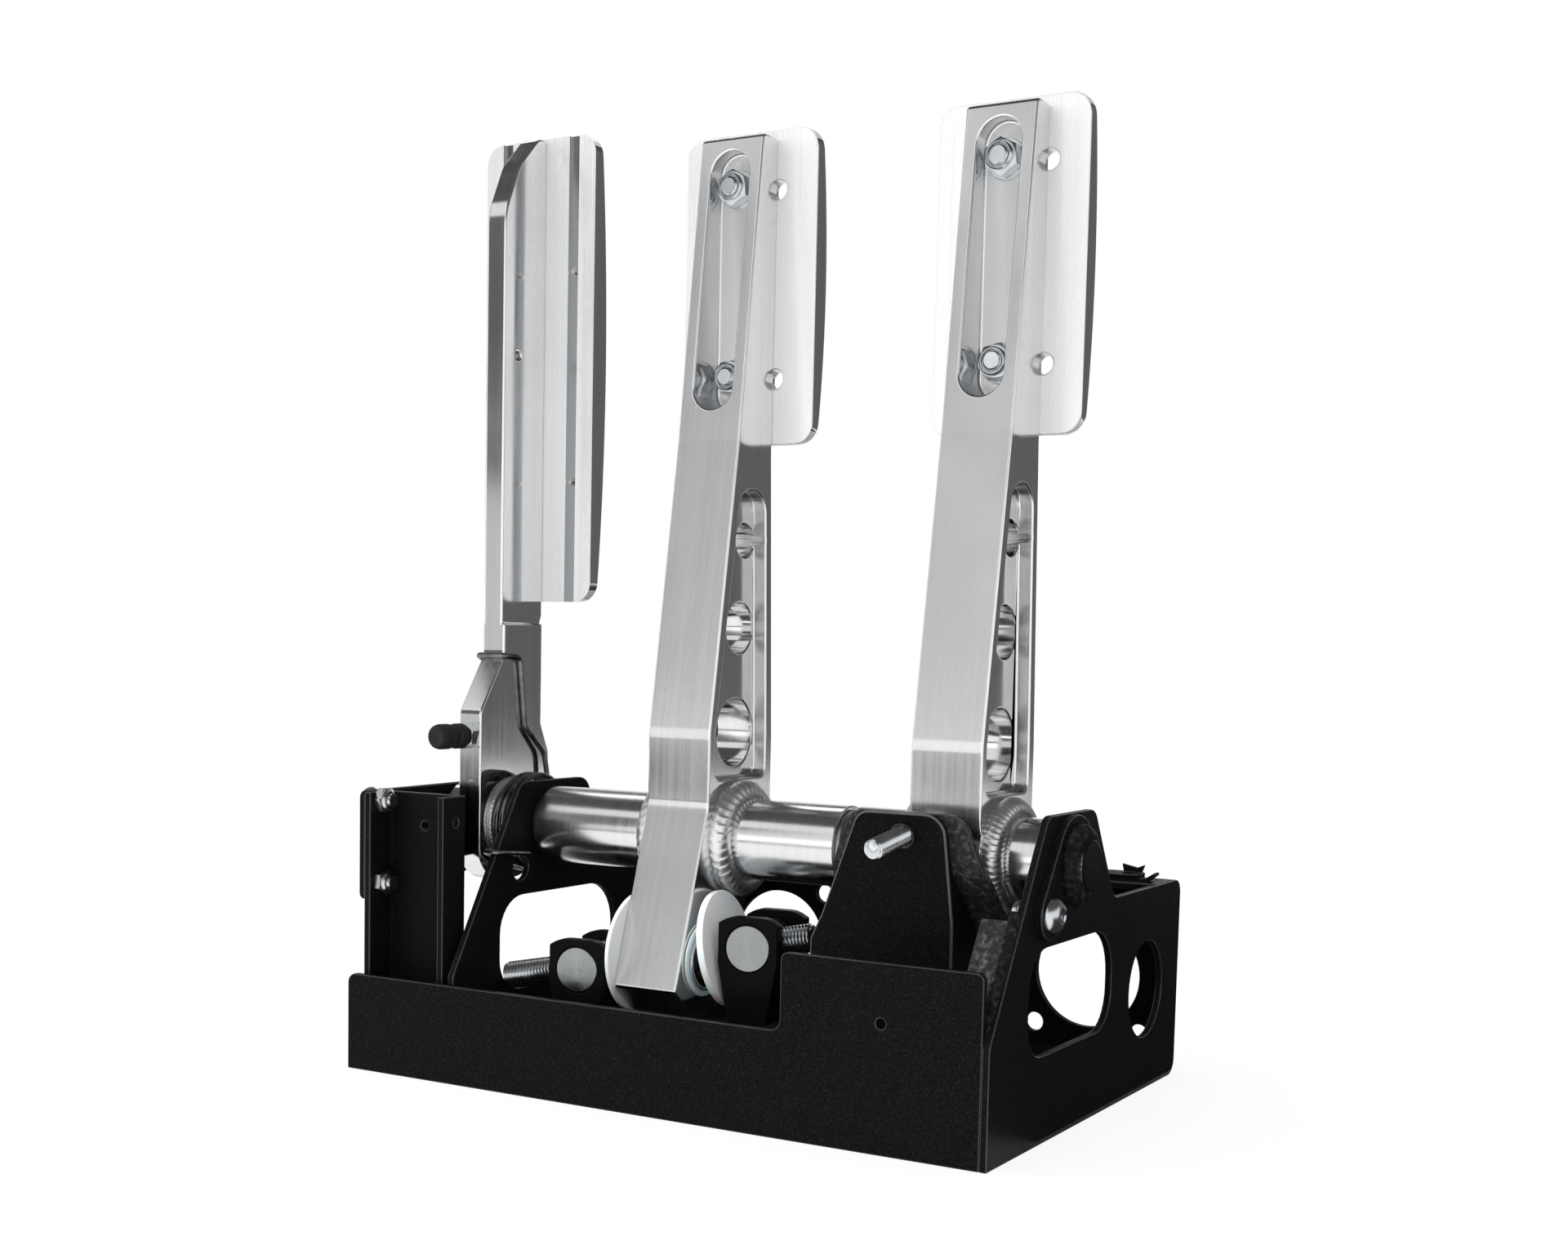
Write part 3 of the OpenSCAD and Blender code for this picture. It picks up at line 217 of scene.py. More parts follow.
def along_axis(tree, shader, axis):
    """Spreads the gloss along an axis of the piece."""
    way = add(tree, "ShaderNodeVectorTransform", {0: axis}, vector_type="VECTOR", convert_from="OBJECT",
              convert_to="WORLD").outputs[0]
    tree.links.new(way, shader.inputs["Tangent"])


def brushed_alloy(name, colour, stretch, low, high, depth, metallic=1.0, across=0.0):
    """Aluminium with brush lines along the axis that is stretched least. With `across`, the lines spread
    the gloss along X, so that a bright band stays crisp from end to end of a face."""
    material, t, shader, where = start_finish(name, colour, metallic, 0.3, Anisotropic=across)
    if across:
        along_axis(t, shader, (1, 0, 0))
    fine = noise(t, where, 1, 3, 0.6, stretch)
    wide = noise(t, where, 1, 2, 0.5, [s * 0.22 for s in stretch])
    haze = noise(t, where, 22, 3)
    lines = reckon(t, "ADD", reckon(t, "MULTIPLY", fine, 0.6), reckon(t, "MULTIPLY", wide, 0.4))
    dark = [c * 0.9 for c in colour]
    t.links.new(shade(t, spread(t, lines, 0, 1, 0.32, 0.66), dark, colour), shader.inputs["Base Color"])
    gloss = reckon(t, "ADD", spread(t, lines, low, high, 0.3, 0.7),
                   spread(t, haze, -0.05, 0.06, 0.3, 0.7))
    t.links.new(gloss, shader.inputs["Roughness"])
    bump(t, shader, lines, depth, 0.6)
    return material


# Colour, noise per metre along X, Y and Z, roughness from and to, bump depth in metres
arm_alloy = brushed_alloy("arm_alloy", (0.74, 0.745, 0.75), (2600, 12, 12), 0.22, 0.3, 0.0000015,
                          across=1.0)
# Painted shade: the floors of the throttle pad's grooves are painted darker than the pad.
groove_painted_shade = brushed_alloy("groove_painted_shade", (0.42, 0.435, 0.45), (1800, 1800, 9), 0.2, 0.3, 0.00001)
side_alloy = brushed_alloy("side_alloy", (0.8, 0.805, 0.81), (2600, 2600, 10), 0.09, 0.15, 0.000006)
rim_alloy = brushed_alloy("rim_alloy", (0.95, 0.955, 0.96), (900, 900, 60), 0.12, 0.24, 0.00001)
pad_alloy = brushed_alloy("pad_alloy", (0.95, 0.952, 0.955), (1800, 1800, 9), 0.22, 0.3, 0.000006,
                          metallic=0.5)
tube_alloy = brushed_alloy("tube_alloy", (0.82, 0.825, 0.83), (2200, 16, 16), 0.15, 0.21, 0.000002)
print("six aluminium finishes are ready")

# %% [markdown]
# ### The small finishes
# Welds, zinc, nylon, rubber, bronze and spring wire each take only a few nodes.

# %% Weld, zinc, bronze and spring wire


def mottled_metal(name, colour, dark, scale, low, high, depth):
    """Bare or plated metal with a mottled gloss."""
    material, t, shader, where = start_finish(name, colour, 1.0, low)
    cloud = noise(t, where, scale, 4, 0.6)
    grit = noise(t, where, scale * 14, 2)
    t.links.new(shade(t, spread(t, cloud, 0, 1, 0.32, 0.68), dark, colour), shader.inputs["Base Color"])
    t.links.new(spread(t, cloud, low, high, 0.3, 0.7), shader.inputs["Roughness"])
    bump(t, shader, grit, depth, 0.5)
    return material


# Bright and dark colour, clouds per metre, roughness from and to, bump depth in metres
weld_alloy = mottled_metal("weld_alloy", (0.96, 0.96, 0.965), (0.84, 0.84, 0.85), 160, 0.36, 0.44,
                           0.000004)
zinc_steel = mottled_metal("zinc_steel", (0.72, 0.74, 0.76), (0.6, 0.62, 0.64), 130, 0.16, 0.28, 0.00002)
bronze = mottled_metal("bronze", (0.42, 0.405, 0.375), (0.31, 0.3, 0.28), 90, 0.3, 0.45, 0.00002)
spring_steel = mottled_metal("spring_steel", (0.3, 0.29, 0.28), (0.12, 0.115, 0.11), 150, 0.24, 0.4,
                             0.00002)

# %% Faces turned on a lathe


def turned_face(name, colour, centre, axis):
    """Metal with fine rings round an axis, where a lathe faced it."""
    material, t, shader, where = start_finish(name, colour, 1.0, 0.26, Anisotropic=0.75)
    out = add(t, "ShaderNodeVectorMath", {0: where, 1: centre}, operation="SUBTRACT").outputs[0]
    around = add(t, "ShaderNodeVectorMath", {0: out, 1: axis}, operation="CROSS_PRODUCT").outputs[0]
    radius = add(t, "ShaderNodeVectorMath", {0: around}, operation="LENGTH").outputs["Value"]
    rings = add(t, "ShaderNodeTexNoise", {"W": radius, "Scale": 3800.0, "Detail": 2.0},
                noise_dimensions="1D").outputs[0]
    scratches = noise(t, where, 700, 2)
    grooves = reckon(t, "ADD", rings, reckon(t, "MULTIPLY", scratches, 0.5))
    t.links.new(spread(t, grooves, 0.18, 0.36, 0.5, 1.0), shader.inputs["Roughness"])
    along_axis(t, shader, around)
    bump(t, shader, grooves, 0.00001, 0.6)
    return material


# %% Nylon and rubber
white_nylon, t, shader, where = start_finish("white_nylon", (0.86, 0.92, 0.94), 0.0, 0.34,
                                             Subsurface_Weight=0.35, Subsurface_Scale=0.004)
turning = noise(t, where, 1, 2, 0.5, (1200, 60, 60))
t.links.new(shade(t, turning, (0.8, 0.87, 0.9), (0.9, 0.94, 0.95)), shader.inputs["Base Color"])
bump(t, shader, turning, 0.00004, 0.4)
black_rubber, t, shader, where = start_finish("black_rubber", (0.011, 0.011, 0.011), 0.0, 0.6,
                                              Specular_IOR_Level=0.3)
skin = noise(t, where, 900, 3)
t.links.new(spread(t, skin, 0.5, 0.75, 0.3, 0.7), shader.inputs["Roughness"])
bump(t, shader, skin, 0.00015, 0.5)
print("finishes in all:", len(bpy.data.materials))

# %% [markdown]
# ## Giving a piece its finish
# A dressed piece rides on its body and stands for its CAD node.
# `edged` copies a CAD solid, merges its loose triangles into clean faces and breaks the edges with
# Bevel, because no real plate or milled arm has a perfectly sharp edge: that thin line is what catches
# the light. Weighted Normal then keeps the large faces flat, so the light turns only on narrow edges.


def seat(piece, node):
    """The piece rides where its CAD node rides and stands for it."""
    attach(piece, frame["nodes"][node]["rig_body"])
    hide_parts(node)
    return piece


def show(name, mesh, material=None):
    """A new object in the scene, at the origin."""
    piece = bpy.data.objects.new(name, mesh)
    bpy.context.scene.collection.objects.link(piece)
    if material is not None:
        mesh.materials.clear()
        mesh.materials.append(material)
    return piece


def settled(piece):
    """The piece with its modifiers turned into plain mesh."""
    bpy.context.view_layer.update()
    made = bpy.data.meshes.new_from_object(piece.evaluated_get(bpy.context.evaluated_depsgraph_get()))
    piece.modifiers.clear()
    piece.data = made
    return piece


# %% Breaking the edges of a solid
SAME_POINT, SAME_PLANE, SAME_STRIP = 3e-6, math.radians(0.6), math.radians(0.05)
SHARP = math.radians(28)


def edged(node, material, width, rim=None, special=(), crowned=False):
    """A CAD node's solid with its edges broken by that width in millimetres, or left sharp at zero.
    Faces that pass one of the tests in `special` take its finish, and the broken edges take the rim's.
    A crowned piece keeps the narrow strips of its face. Where its edges stay sharp, each strip is flat
    too, so that no bolt hole bends the light on it."""
    mesh = frame["nodes"][node].data.copy()
    mesh.materials.clear()
    for finish in [material] + [finish for finish, _ in special] + ([rim] if rim else []):
        mesh.materials.append(finish)
    shape = bmesh.new()
    shape.from_mesh(mesh)
    bmesh.ops.remove_doubles(shape, verts=shape.verts, dist=SAME_POINT)
    bmesh.ops.dissolve_limit(shape, angle_limit=SAME_STRIP if crowned else SAME_PLANE,
                             verts=shape.verts, edges=shape.edges)
    for face in shape.faces:
        face.smooth = True
        face.material_index = 0
        for index, (_, test) in enumerate(special, 1):
            if test(face):
                face.material_index = index
    shape.to_mesh(mesh)
    shape.free()
    piece = show(node + ".look", mesh)
    if not width:
        mesh.set_sharp_from_angle(angle=SHARP)
        for face in mesh.polygons:
            face.use_smooth = not (crowned and face.normal.y > 0.9)
        return seat(settled(piece), node)
    bevel = piece.modifiers.new("broken edges", "BEVEL")
    bevel.width, bevel.segments = width / 1000, 2
    bevel.limit_method, bevel.angle_limit = "ANGLE", SHARP
    bevel.use_clamp_overlap, bevel.harden_normals = False, False
    bevel.material = len(special) + 1 if rim else -1
    even = piece.modifiers.new("flat faces", "WEIGHTED_NORMAL")
    even.mode, even.weight, even.keep_sharp = "FACE_AREA", 100, True
    return seat(settled(piece), node)


def side_face(face):
    """True on the faces that look left or right."""
    return abs(face.normal.x) > 0.95


def in_holes(holes):
    """A test for the walls of round holes along X, given as (y, z, radius) in millimetres."""
    def test(face):
        middle = face.calc_center_median()
        return abs(face.normal.x) < 0.1 and any(
            abs((middle - place(0, y, z)).yz.length * 1000 - r) < 0.6 for y, z, r in holes)
    return test


# %% [markdown]
# ## The folded and welded base
# All plates keep their CAD shapes. The laser-cut edges get a break of half a millimetre.

# %% Base plates
plates = ["base_tray", "front_wall", "right_side_plate", "inner_side_plate", "throttle_bracket",
          "outrigger_plate", "clutch_stop_bracket", "clutch_stop_brace", "shaft_retainer"]


def on_lip(face):
    """True on the right plate's slanted front lip, which was filled and ground before coating."""
    inside_plate = place(BASE_WIDTH - SHEET - 0.5, 0, 0).x
    return face.normal.y < -0.5 and face.calc_center_median().x < inside_plate


# The broken edges take the lighter edge coats: a painted highlight, and on the stop bracket also wear.
for node in plates:
    if node == "clutch_stop_bracket":
        edged(node, powder_coat, 0.8, rim=worn_edge_highlight)
    else:
        edged(node, rough_coat if node == "clutch_stop_brace" else powder_coat, 0.45, rim=edge_highlight_coat,
              special=[(rough_coat, on_lip)] if node == "right_side_plate" else ())
edged("flange_clips", powder_coat, 0.3, rim=edge_highlight_coat)
print("plates with broken edges:", len(plates))

# %% [markdown]
# ## Arms, pads and tubes
# The arms are milled from bar, and their chamfered edges shine, so the break is wider than on the sheet.
# The pads' faces are slightly crowned. The floors of the throttle pad's grooves are painted darker, a
# painted shade.

# %% Tests for special faces
PAD_BACK_Y = 92.0
light_holes = [(PIVOT_Y + 5.8, PIVOT_Z + 43.8, 14.3), (PIVOT_Y + 8.1, PIVOT_Z + 87.8, 10.6),
               (PIVOT_Y + 11, PIVOT_Z + 124.5, 7.15)]


def front_face(face):
    """True on the faces that look towards the front."""
    return face.normal.y < -0.5


def groove_floor(face):
    """True on the floors of the throttle pad's two grooves."""
    return face.normal.y < -0.9 and face.calc_center_median().y > place(0, PAD_BACK_Y + 1, 0).y


def outside_base(face):
    """True on the shaft's end, outside the right plate."""
    return face.calc_center_median().x > place(BASE_WIDTH, 0, 0).x


# %% Milled and turned pieces
for node in ["brake_arm", "clutch_arm"]:
    edged(node, arm_alloy, 0.9, rim=rim_alloy,
          special=[(side_alloy, side_face), (side_alloy, in_holes(light_holes))])
edged("throttle_arm", arm_alloy, 0.9, rim=rim_alloy,
      special=[(side_alloy, side_face), (side_alloy, front_face)])
for node in ["brake_pad", "clutch_pad"]:
    edged(node, pad_alloy, 0.8, special=[(side_alloy, side_face)], crowned=True)
# The groove floors take the darker alloy, a painted shade.
edged("throttle_pad", pad_alloy, 0, special=[(side_alloy, side_face), (groove_painted_shade, groove_floor)],
      crowned=True)
for node in ["brake_tube", "clutch_tube", "throttle_tube"]:
    edged(node, tube_alloy, 0.6)
for node in ["brake_bushes", "clutch_bushes", "throttle_bushes"]:
    edged(node, bronze, 0.3)
edged("cross_shaft", zinc_steel, 0.8, rim=satin_black, special=[(satin_black, outside_base)])
edged("bearing_housing", zinc_steel, 0.5)
edged("bar_ball", zinc_steel, 0.3)
edged("bar_collars", zinc_steel, 0.3)

# %% The balance bar's line, and the barrels on it
BAR_TILT, BAR_TURN = math.radians(11), math.radians(7)
bar_way = Vector((math.cos(BAR_TILT) * math.cos(BAR_TURN), math.cos(BAR_TILT) * math.sin(BAR_TURN),
                  math.sin(BAR_TILT)))
bar_at = Vector((BRAKE_X, 45.5, 57.0))
barrel_way = Vector((-math.sin(BAR_TURN), math.cos(BAR_TURN), 0))


def barrel_end(face):
    """True on a barrel's flat ends."""
    return abs(face.normal.dot(barrel_way)) > 0.97


for node, along in (("trunnion_left", -37.0), ("trunnion_right", 41.5)):
    faced = turned_face(node + "_faced", (0.34, 0.355, 0.36), place(*(bar_at + bar_way * along)),
                        barrel_way)
    edged(node, zinc_steel, 0.6, special=[(faced, barrel_end)])
for node in ["clevis_left", "clevis_right"]:
    edged(node, satin_black, 0.7)
for node in ["housing_washers", "nylon_spacer"]:
    edged(node, white_nylon, 0.45)

# %% [markdown]
# ## Geometry Nodes for what repeats
# Screws, weld ripples, threads and wire all follow a rule, so each has a small Geometry Nodes tree with
# named sizes. `grow` sets the sizes by the sockets' identifiers and turns the result into plain mesh.

# %% Start and end of a tree


def start_tree(name, sizes):
    """A Geometry Nodes tree with named inputs, and its first and last sockets."""
    tree = bpy.data.node_groups.new(name, "GeometryNodeTree")
    tree.interface.new_socket("Geometry", in_out="INPUT", socket_type="NodeSocketGeometry")
    for label, (kind, value) in {**sizes, "Finish": ("Material", None)}.items():
        socket = tree.interface.new_socket(label, in_out="INPUT", socket_type="NodeSocket" + kind)
        if value is not None:
            socket.default_value = value
    tree.interface.new_socket("Geometry", in_out="OUTPUT", socket_type="NodeSocketGeometry")
    return tree, tree.nodes.new("NodeGroupInput").outputs


def end_tree(tree, given, geometry):
    """Realize, smooth and finish what a tree made."""
    whole = add(tree, "GeometryNodeRealizeInstances", {"Geometry": geometry}).outputs[0]
    smooth = add(tree, "GeometryNodeSetShadeSmooth", {"Geometry": whole}).outputs[0]
    done = add(tree, "GeometryNodeSetMaterial",
               {"Geometry": smooth, "Material": given["Finish"]}).outputs[0]
    tree.links.new(done, tree.nodes.new("NodeGroupOutput").inputs[0])


def grow(name, mesh, tree, sizes):
    """A mesh object with what the tree makes of the given mesh."""
    piece = show(name, mesh)
    modifier = piece.modifiers.new(name, "NODES")
    modifier.node_group = tree
    for item in tree.interface.items_tree:
        if item.in_out == "INPUT" and item.name in sizes:
            modifier[item.identifier] = sizes[item.name]
    settled(piece)
    print(name, "has", len(piece.data.polygons), "faces")
    return piece


def line_mesh(name, points, closed=False):
    """A mesh of points and the edges between them."""
    mesh = bpy.data.meshes.new(name)
    edges = [(i, i + 1) for i in range(len(points) - 1)] + ([(len(points) - 1, 0)] if closed else [])
    mesh.from_pydata(points, edges, [])
    return mesh


def points_mesh(name, points):
    """A mesh of single points."""
    mesh = bpy.data.meshes.new(name)
    mesh.from_pydata(points, [], [])
    return mesh


# %% [markdown]
# ### Weld beads
# A hand-made weld looks like a row of coins pushed over. The bead is a tube along a line. Each ripple
# starts high and sinks towards the next, and it lags behind at the bead's sides, which bows it into a
# crescent. On a bead round a tube, "across" is measured from the middle of the bead, half outwards and
# half along X.

# %% A tree for weld beads, first the tube
bead_tree, given = start_tree("weld bead", {
    "Bead": ("Float", 0.004), "Step": ("Float", 0.003), "Depth": ("Float", 0.2),
    "Wander": ("Float", 0.0004), "Bow": ("Float", 0.0), "Centre": ("Vector", (0, 0, 0)),
    "Ring": ("Float", 0.02), "Lean": ("Float", 1.0)})
make, calc = partial(add, bead_tree), partial(reckon, bead_tree)
path = make("GeometryNodeMeshToCurve", {"Mesh": given["Geometry"]}).outputs[0]
path = make("GeometryNodeResampleCurve", {"Curve": path, "Length": calc("DIVIDE", given["Step"], 8.0)},
            mode="LENGTH").outputs[0]
marked = bead_tree.nodes.new("GeometryNodeCaptureAttribute")
marked.capture_items.new("FLOAT", "along")
bead_tree.links.new(path, marked.inputs[0])
bead_tree.links.new(make("GeometryNodeSplineParameter").outputs["Length"], marked.inputs[1])
ring = make("GeometryNodeCurvePrimitiveCircle", {"Resolution": 18, "Radius": given["Bead"]}).outputs[0]
bead = make("GeometryNodeCurveToMesh",
            {"Curve": marked.outputs[0], "Profile Curve": ring, "Fill Caps": True}).outputs[0]

# %% The ripples on the bead
spot = make("GeometryNodeInputPosition").outputs[0]
out = make("ShaderNodeVectorMath", {0: spot, 1: given["Centre"]}, operation="SUBTRACT").outputs[0]
out = make("ShaderNodeSeparateXYZ", {0: out}).outputs
radial = calc("SQRT", calc("ADD", calc("POWER", out[1], 2.0), calc("POWER", out[2], 2.0)))
across = calc("SUBTRACT", calc("SUBTRACT", radial, given["Ring"]),
              calc("MULTIPLY", out[0], given["Lean"]))
across = calc("POWER", calc("DIVIDE", across, calc("MULTIPLY", given["Bead"], math.sqrt(2))), 2.0)
phase = calc("ADD", calc("DIVIDE", marked.outputs[1], given["Step"]),
             calc("MULTIPLY", across, given["Bow"]))
sink = calc("MULTIPLY", calc("POWER", calc("FRACT", phase), 1.5),
            calc("MULTIPLY", given["Depth"], given["Bead"]))
normal = make("GeometryNodeInputNormal").outputs[0]
push = make("ShaderNodeVectorMath", {0: normal, "Scale": calc("MULTIPLY", sink, -1.0)},
            operation="SCALE").outputs[0]
cloud = make("ShaderNodeTexNoise", {"Scale": 420.0, "Detail": 1.0}).outputs["Color"]
cloud = make("ShaderNodeVectorMath", {0: cloud, 1: (0.5, 0.5, 0.5)}, operation="SUBTRACT").outputs[0]
cloud = make("ShaderNodeVectorMath", {0: cloud, "Scale": given["Wander"]}, operation="SCALE").outputs[0]
push = make("ShaderNodeVectorMath", {0: push, 1: cloud}, operation="ADD").outputs[0]
bead = make("GeometryNodeSetPosition", {"Geometry": bead, "Offset": push}).outputs[0]
end_tree(bead_tree, given, bead)

# %% Beads round the pedals' tubes
RIPPLE_DEPTH = 0.1


def ring_points(x, radius, count=96):
    """Places on a circle round the pivot line."""
    turns = [2 * math.pi * i / count for i in range(count)]
    return [place(x, PIVOT_Y + radius * math.cos(a), PIVOT_Z + radius * math.sin(a)) for a in turns]


def joined(name, pieces):
    """Several objects as one."""
    shape = bmesh.new()
    for piece in pieces:
        shape.from_mesh(piece.data)
    mesh = bpy.data.meshes.new(name)
    shape.to_mesh(mesh)
    shape.free()
    mesh.materials.append(pieces[0].data.materials[0])
    for piece in pieces:
        bpy.data.objects.remove(piece)
    return show(name, mesh)


def round_bead(name, x, radius, bead, ripples, lean, finish, wander=0.0001):
    """A bead round the pivot line, with a whole number of ripples. Lean is +1 where it faces right."""
    return grow(name, line_mesh(name, ring_points(x, radius), True), bead_tree, {
        "Bead": bead / 1000, "Step": 2 * math.pi * radius / ripples / 1000, "Depth": RIPPLE_DEPTH,
        "Wander": wander, "Bow": 0.9, "Centre": tuple(place(x, PIVOT_Y, PIVOT_Z)),
        "Ring": radius / 1000, "Lean": float(lean), "Finish": finish})


# Middle and half width of the arm, gap to the bead's line, that line's radius, the bead's, and ripples
for node, x, half, off, radius, bead, ripples in [
        ("brake_welds", BRAKE_X, ARM_WIDTH / 2, 2.2, 19.0, 5.4, 40),
        ("clutch_welds", CLUTCH_X, ARM_WIDTH / 2, 2.2, 19.0, 5.4, 60),
        ("throttle_welds", THROTTLE_X, THROTTLE_WIDTH / 2, 0.8, 17.8, 1.9, 56)]:
    beads = [round_bead(node + name, x + side * (half + off), radius, bead, ripples, side, weld_alloy)
             for name, side in (("_left", -1), ("_right", 1))]
    seat(joined(node + ".look", beads), node)

# %% Coated welds on the base
shaft_weld = round_bead("shaft_weld", BASE_WIDTH + SHEET + 0.8, 11.6, 4.3, 26, 1, weld_coat, 0.0008)
seam = [place(*p) for p in ((296.2, 29.5, 89.5), (296.4, 26.5, 84), (296.4, 17.6, 69),
                            (296.2, 8.5, 54.5), (296.0, 4.8, 47), (295.6, 4.4, 43))]
plate_weld = grow("plate_weld", line_mesh("plate_weld", seam), bead_tree, {
    "Bead": 0.0033, "Step": 0.0032, "Depth": RIPPLE_DEPTH, "Wander": 0.0012, "Finish": weld_coat})
for piece in (shaft_weld, plate_weld):
    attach(piece, "frame")

# %% [markdown]
# ### Threads
# A thread is a cylinder whose radius rises and falls with the height minus the turn. That is one formula
# on the position of each point, so the tree needs no helix: a triangle wave of height and angle does it.

# %% A tree for threaded rods
thread_tree, given = start_tree("threaded rod", {
    "Length": ("Float", 0.02), "Radius": ("Float", 0.004), "Pitch": ("Float", 0.00125),
    "Depth": ("Float", 0.0007), "Plain from": ("Float", 9.0), "Plain to": ("Float", 9.0),
    "Start": ("Vector", (0, 0, 0)), "Turn": ("Rotation", None)})
make, calc = partial(add, thread_tree), partial(reckon, thread_tree)
rows = calc("MULTIPLY", calc("DIVIDE", given["Length"], given["Pitch"]), 6.0)
rows = make("FunctionNodeFloatToInt", {0: rows}, rounding_mode="CEILING").outputs[0]
rod = make("GeometryNodeMeshCylinder", {"Vertices": 36, "Side Segments": rows, "Radius": given["Radius"],
                                        "Depth": given["Length"]}).outputs["Mesh"]
spot = make("ShaderNodeSeparateXYZ", {0: make("GeometryNodeInputPosition").outputs[0]}).outputs
turn = calc("DIVIDE", calc("ARCTAN2", spot[1], spot[0]), math.tau)
wave = calc("PINGPONG", calc("SUBTRACT", calc("DIVIDE", spot[2], given["Pitch"]), turn), 0.5)
height = calc("ADD", spot[2], calc("MULTIPLY", given["Length"], 0.5))
plain = calc("MULTIPLY", calc("GREATER_THAN", height, given["Plain from"]),
             calc("LESS_THAN", height, given["Plain to"]))
cut = calc("MULTIPLY", calc("MULTIPLY", wave, given["Depth"]),
           calc("MULTIPLY", calc("SUBTRACT", 1.0, plain), 2.0))
near_end = calc("SUBTRACT", calc("MULTIPLY", given["Length"], 0.5), calc("ABSOLUTE", spot[2]))
chamfer = spread(thread_tree, near_end, 0.86, 1.0, 0.0, 0.0009)
narrow = calc("MULTIPLY", chamfer, calc("SUBTRACT", 1.0, calc("DIVIDE", cut, given["Radius"])))
moved = make("ShaderNodeCombineXYZ", {0: calc("MULTIPLY", spot[0], narrow),
                                      1: calc("MULTIPLY", spot[1], narrow), 2: height}).outputs[0]
rod = make("GeometryNodeSetPosition", {"Geometry": rod, "Position": moved}).outputs[0]
rod = make("GeometryNodeTransform", {"Geometry": rod, "Translation": given["Start"],
                                     "Rotation": given["Turn"]}).outputs[0]
end_tree(thread_tree, given, rod)

# %% Threaded rods
M12, M8, M6 = (6.0, 1.5, 0.75), (4.0, 1.25, 0.62), (3.0, 1.0, 0.5)  # radius, pitch, thread depth


def facing(direction):
    """The turn that brings Z to a direction."""
    return Vector(direction).to_track_quat("Z", "Y").to_euler()


def rod_piece(name, start, direction, length, thread, plain=(9, 9)):
    """A zinc-plated threaded rod from a place, in a direction, with sizes in millimetres."""
    radius, pitch, depth = thread
    piece = grow(name, points_mesh(name, [(0, 0, 0)]), thread_tree, {
        "Length": length / 1000, "Radius": radius / 1000, "Pitch": pitch / 1000, "Depth": depth / 1000,
        "Plain from": plain[0] / 1000, "Plain to": plain[1] / 1000, "Finish": zinc_steel,
        "Start": tuple(place(*start)), "Turn": tuple(facing(direction))})
    piece.data.set_sharp_from_angle(angle=math.radians(50))
    return piece


# %% The clutch stop's stud and the balance bar
tilt = math.radians(8)
stud_way = Vector((0, math.cos(tilt), math.sin(tilt)))
stud_at = Vector((CLUTCH_X - 8, 27.0, PIVOT_Z + 10.6))
stud_out, stud_back = 24.5 / math.cos(tilt), 13.2 / math.cos(tilt)
seat(rod_piece("clutch_stop_stud.look", stud_at - stud_way * stud_out, stud_way,
               stud_out + stud_back, M8), "clutch_stop_stud")
BAR_LEFT, BAR_LENGTH, BAR_PLAIN = 79.95, 143.95, (54, 106)
seat(rod_piece("balance_bar.look", bar_at - bar_way * BAR_LEFT, bar_way, BAR_LENGTH, M12, BAR_PLAIN),
     "balance_bar")

# %% [markdown]
# ### Nuts, heads and other turned pieces
# A hexagon nut is a prism cut by a cone, and that cut gives the curved edges round its face. `turned`
# builds such a piece as rings of points. A ring with a sign takes the hexagon's radius, and its height
# follows the cone, up or down.

# %% Turned pieces
CONE_SLOPE = 0.577


def turned(name, profile, flats=0.0, cone=0.0, sides=48):
    """A closed turned mesh round Z from (radius, height, hex sign) rings in millimetres."""
    shape = bmesh.new()
    rings = []
    for radius, height, sign in profile:
        ring = []
        for i in range(sides):
            a = 2 * math.pi * i / sides
            r, z = radius, height
            if sign:
                wedge = (a + math.pi / 6) % (math.pi / 3) - math.pi / 6
                r = flats / 2 / math.cos(wedge)
                z = height - sign * max(0.0, r - cone) * CONE_SLOPE
            ring.append(shape.verts.new((r * math.cos(a) / 1000, r * math.sin(a) / 1000, z / 1000)))
        rings.append(ring)
    for low, high in zip(rings, rings[1:] + rings[:1]):
        for i in range(sides):
            j = (i + 1) % sides
            shape.faces.new((low[i], low[j], high[j], high[i]))
    bmesh.ops.recalc_face_normals(shape, faces=shape.faces)
    mesh = bpy.data.meshes.new(name)
    shape.to_mesh(mesh)
    shape.free()
    return show(name, mesh)


def lock_nut(name, flats, height, bore):
    """A hexagon nut with the plain collar that holds its nylon ring. It starts at zero and goes up Z."""
    cone, collar = flats / 2 * 0.97, flats / 2 * 0.86
    body = height * 0.72
    return turned(name, [
        (bore, 0.15, 0), (bore + 0.5, 0, 0), (cone, 0, 0), (0, 0, -1), (0, body, 1), (cone, body, 0),
        (collar, body + 0.1, 0), (collar, height - 0.7, 0), (collar - 0.6, height, 0),
        (bore + 0.7, height, 0), (bore + 0.2, height - 0.9, 0), (bore, height - 0.9, 0)], flats, cone)


def plain_nut(name, flats, height, bore):
    """A hexagon nut with a cone on both sides."""
    cone = flats / 2 * 0.97
    return turned(name, [
        (bore, 0.3, 0), (bore + 0.5, 0, 0), (cone, 0, 0), (0, 0, -1), (0, height, 1), (cone, height, 0),
        (bore + 0.5, height, 0), (bore, height - 0.3, 0)], flats, cone)


# %% [markdown]
# ### One tree that sets fasteners in place
# The points of a mesh say where the fasteners go. Each copy is spun about its own axis by a seeded
# random angle, because no two nuts stop at the same turn.

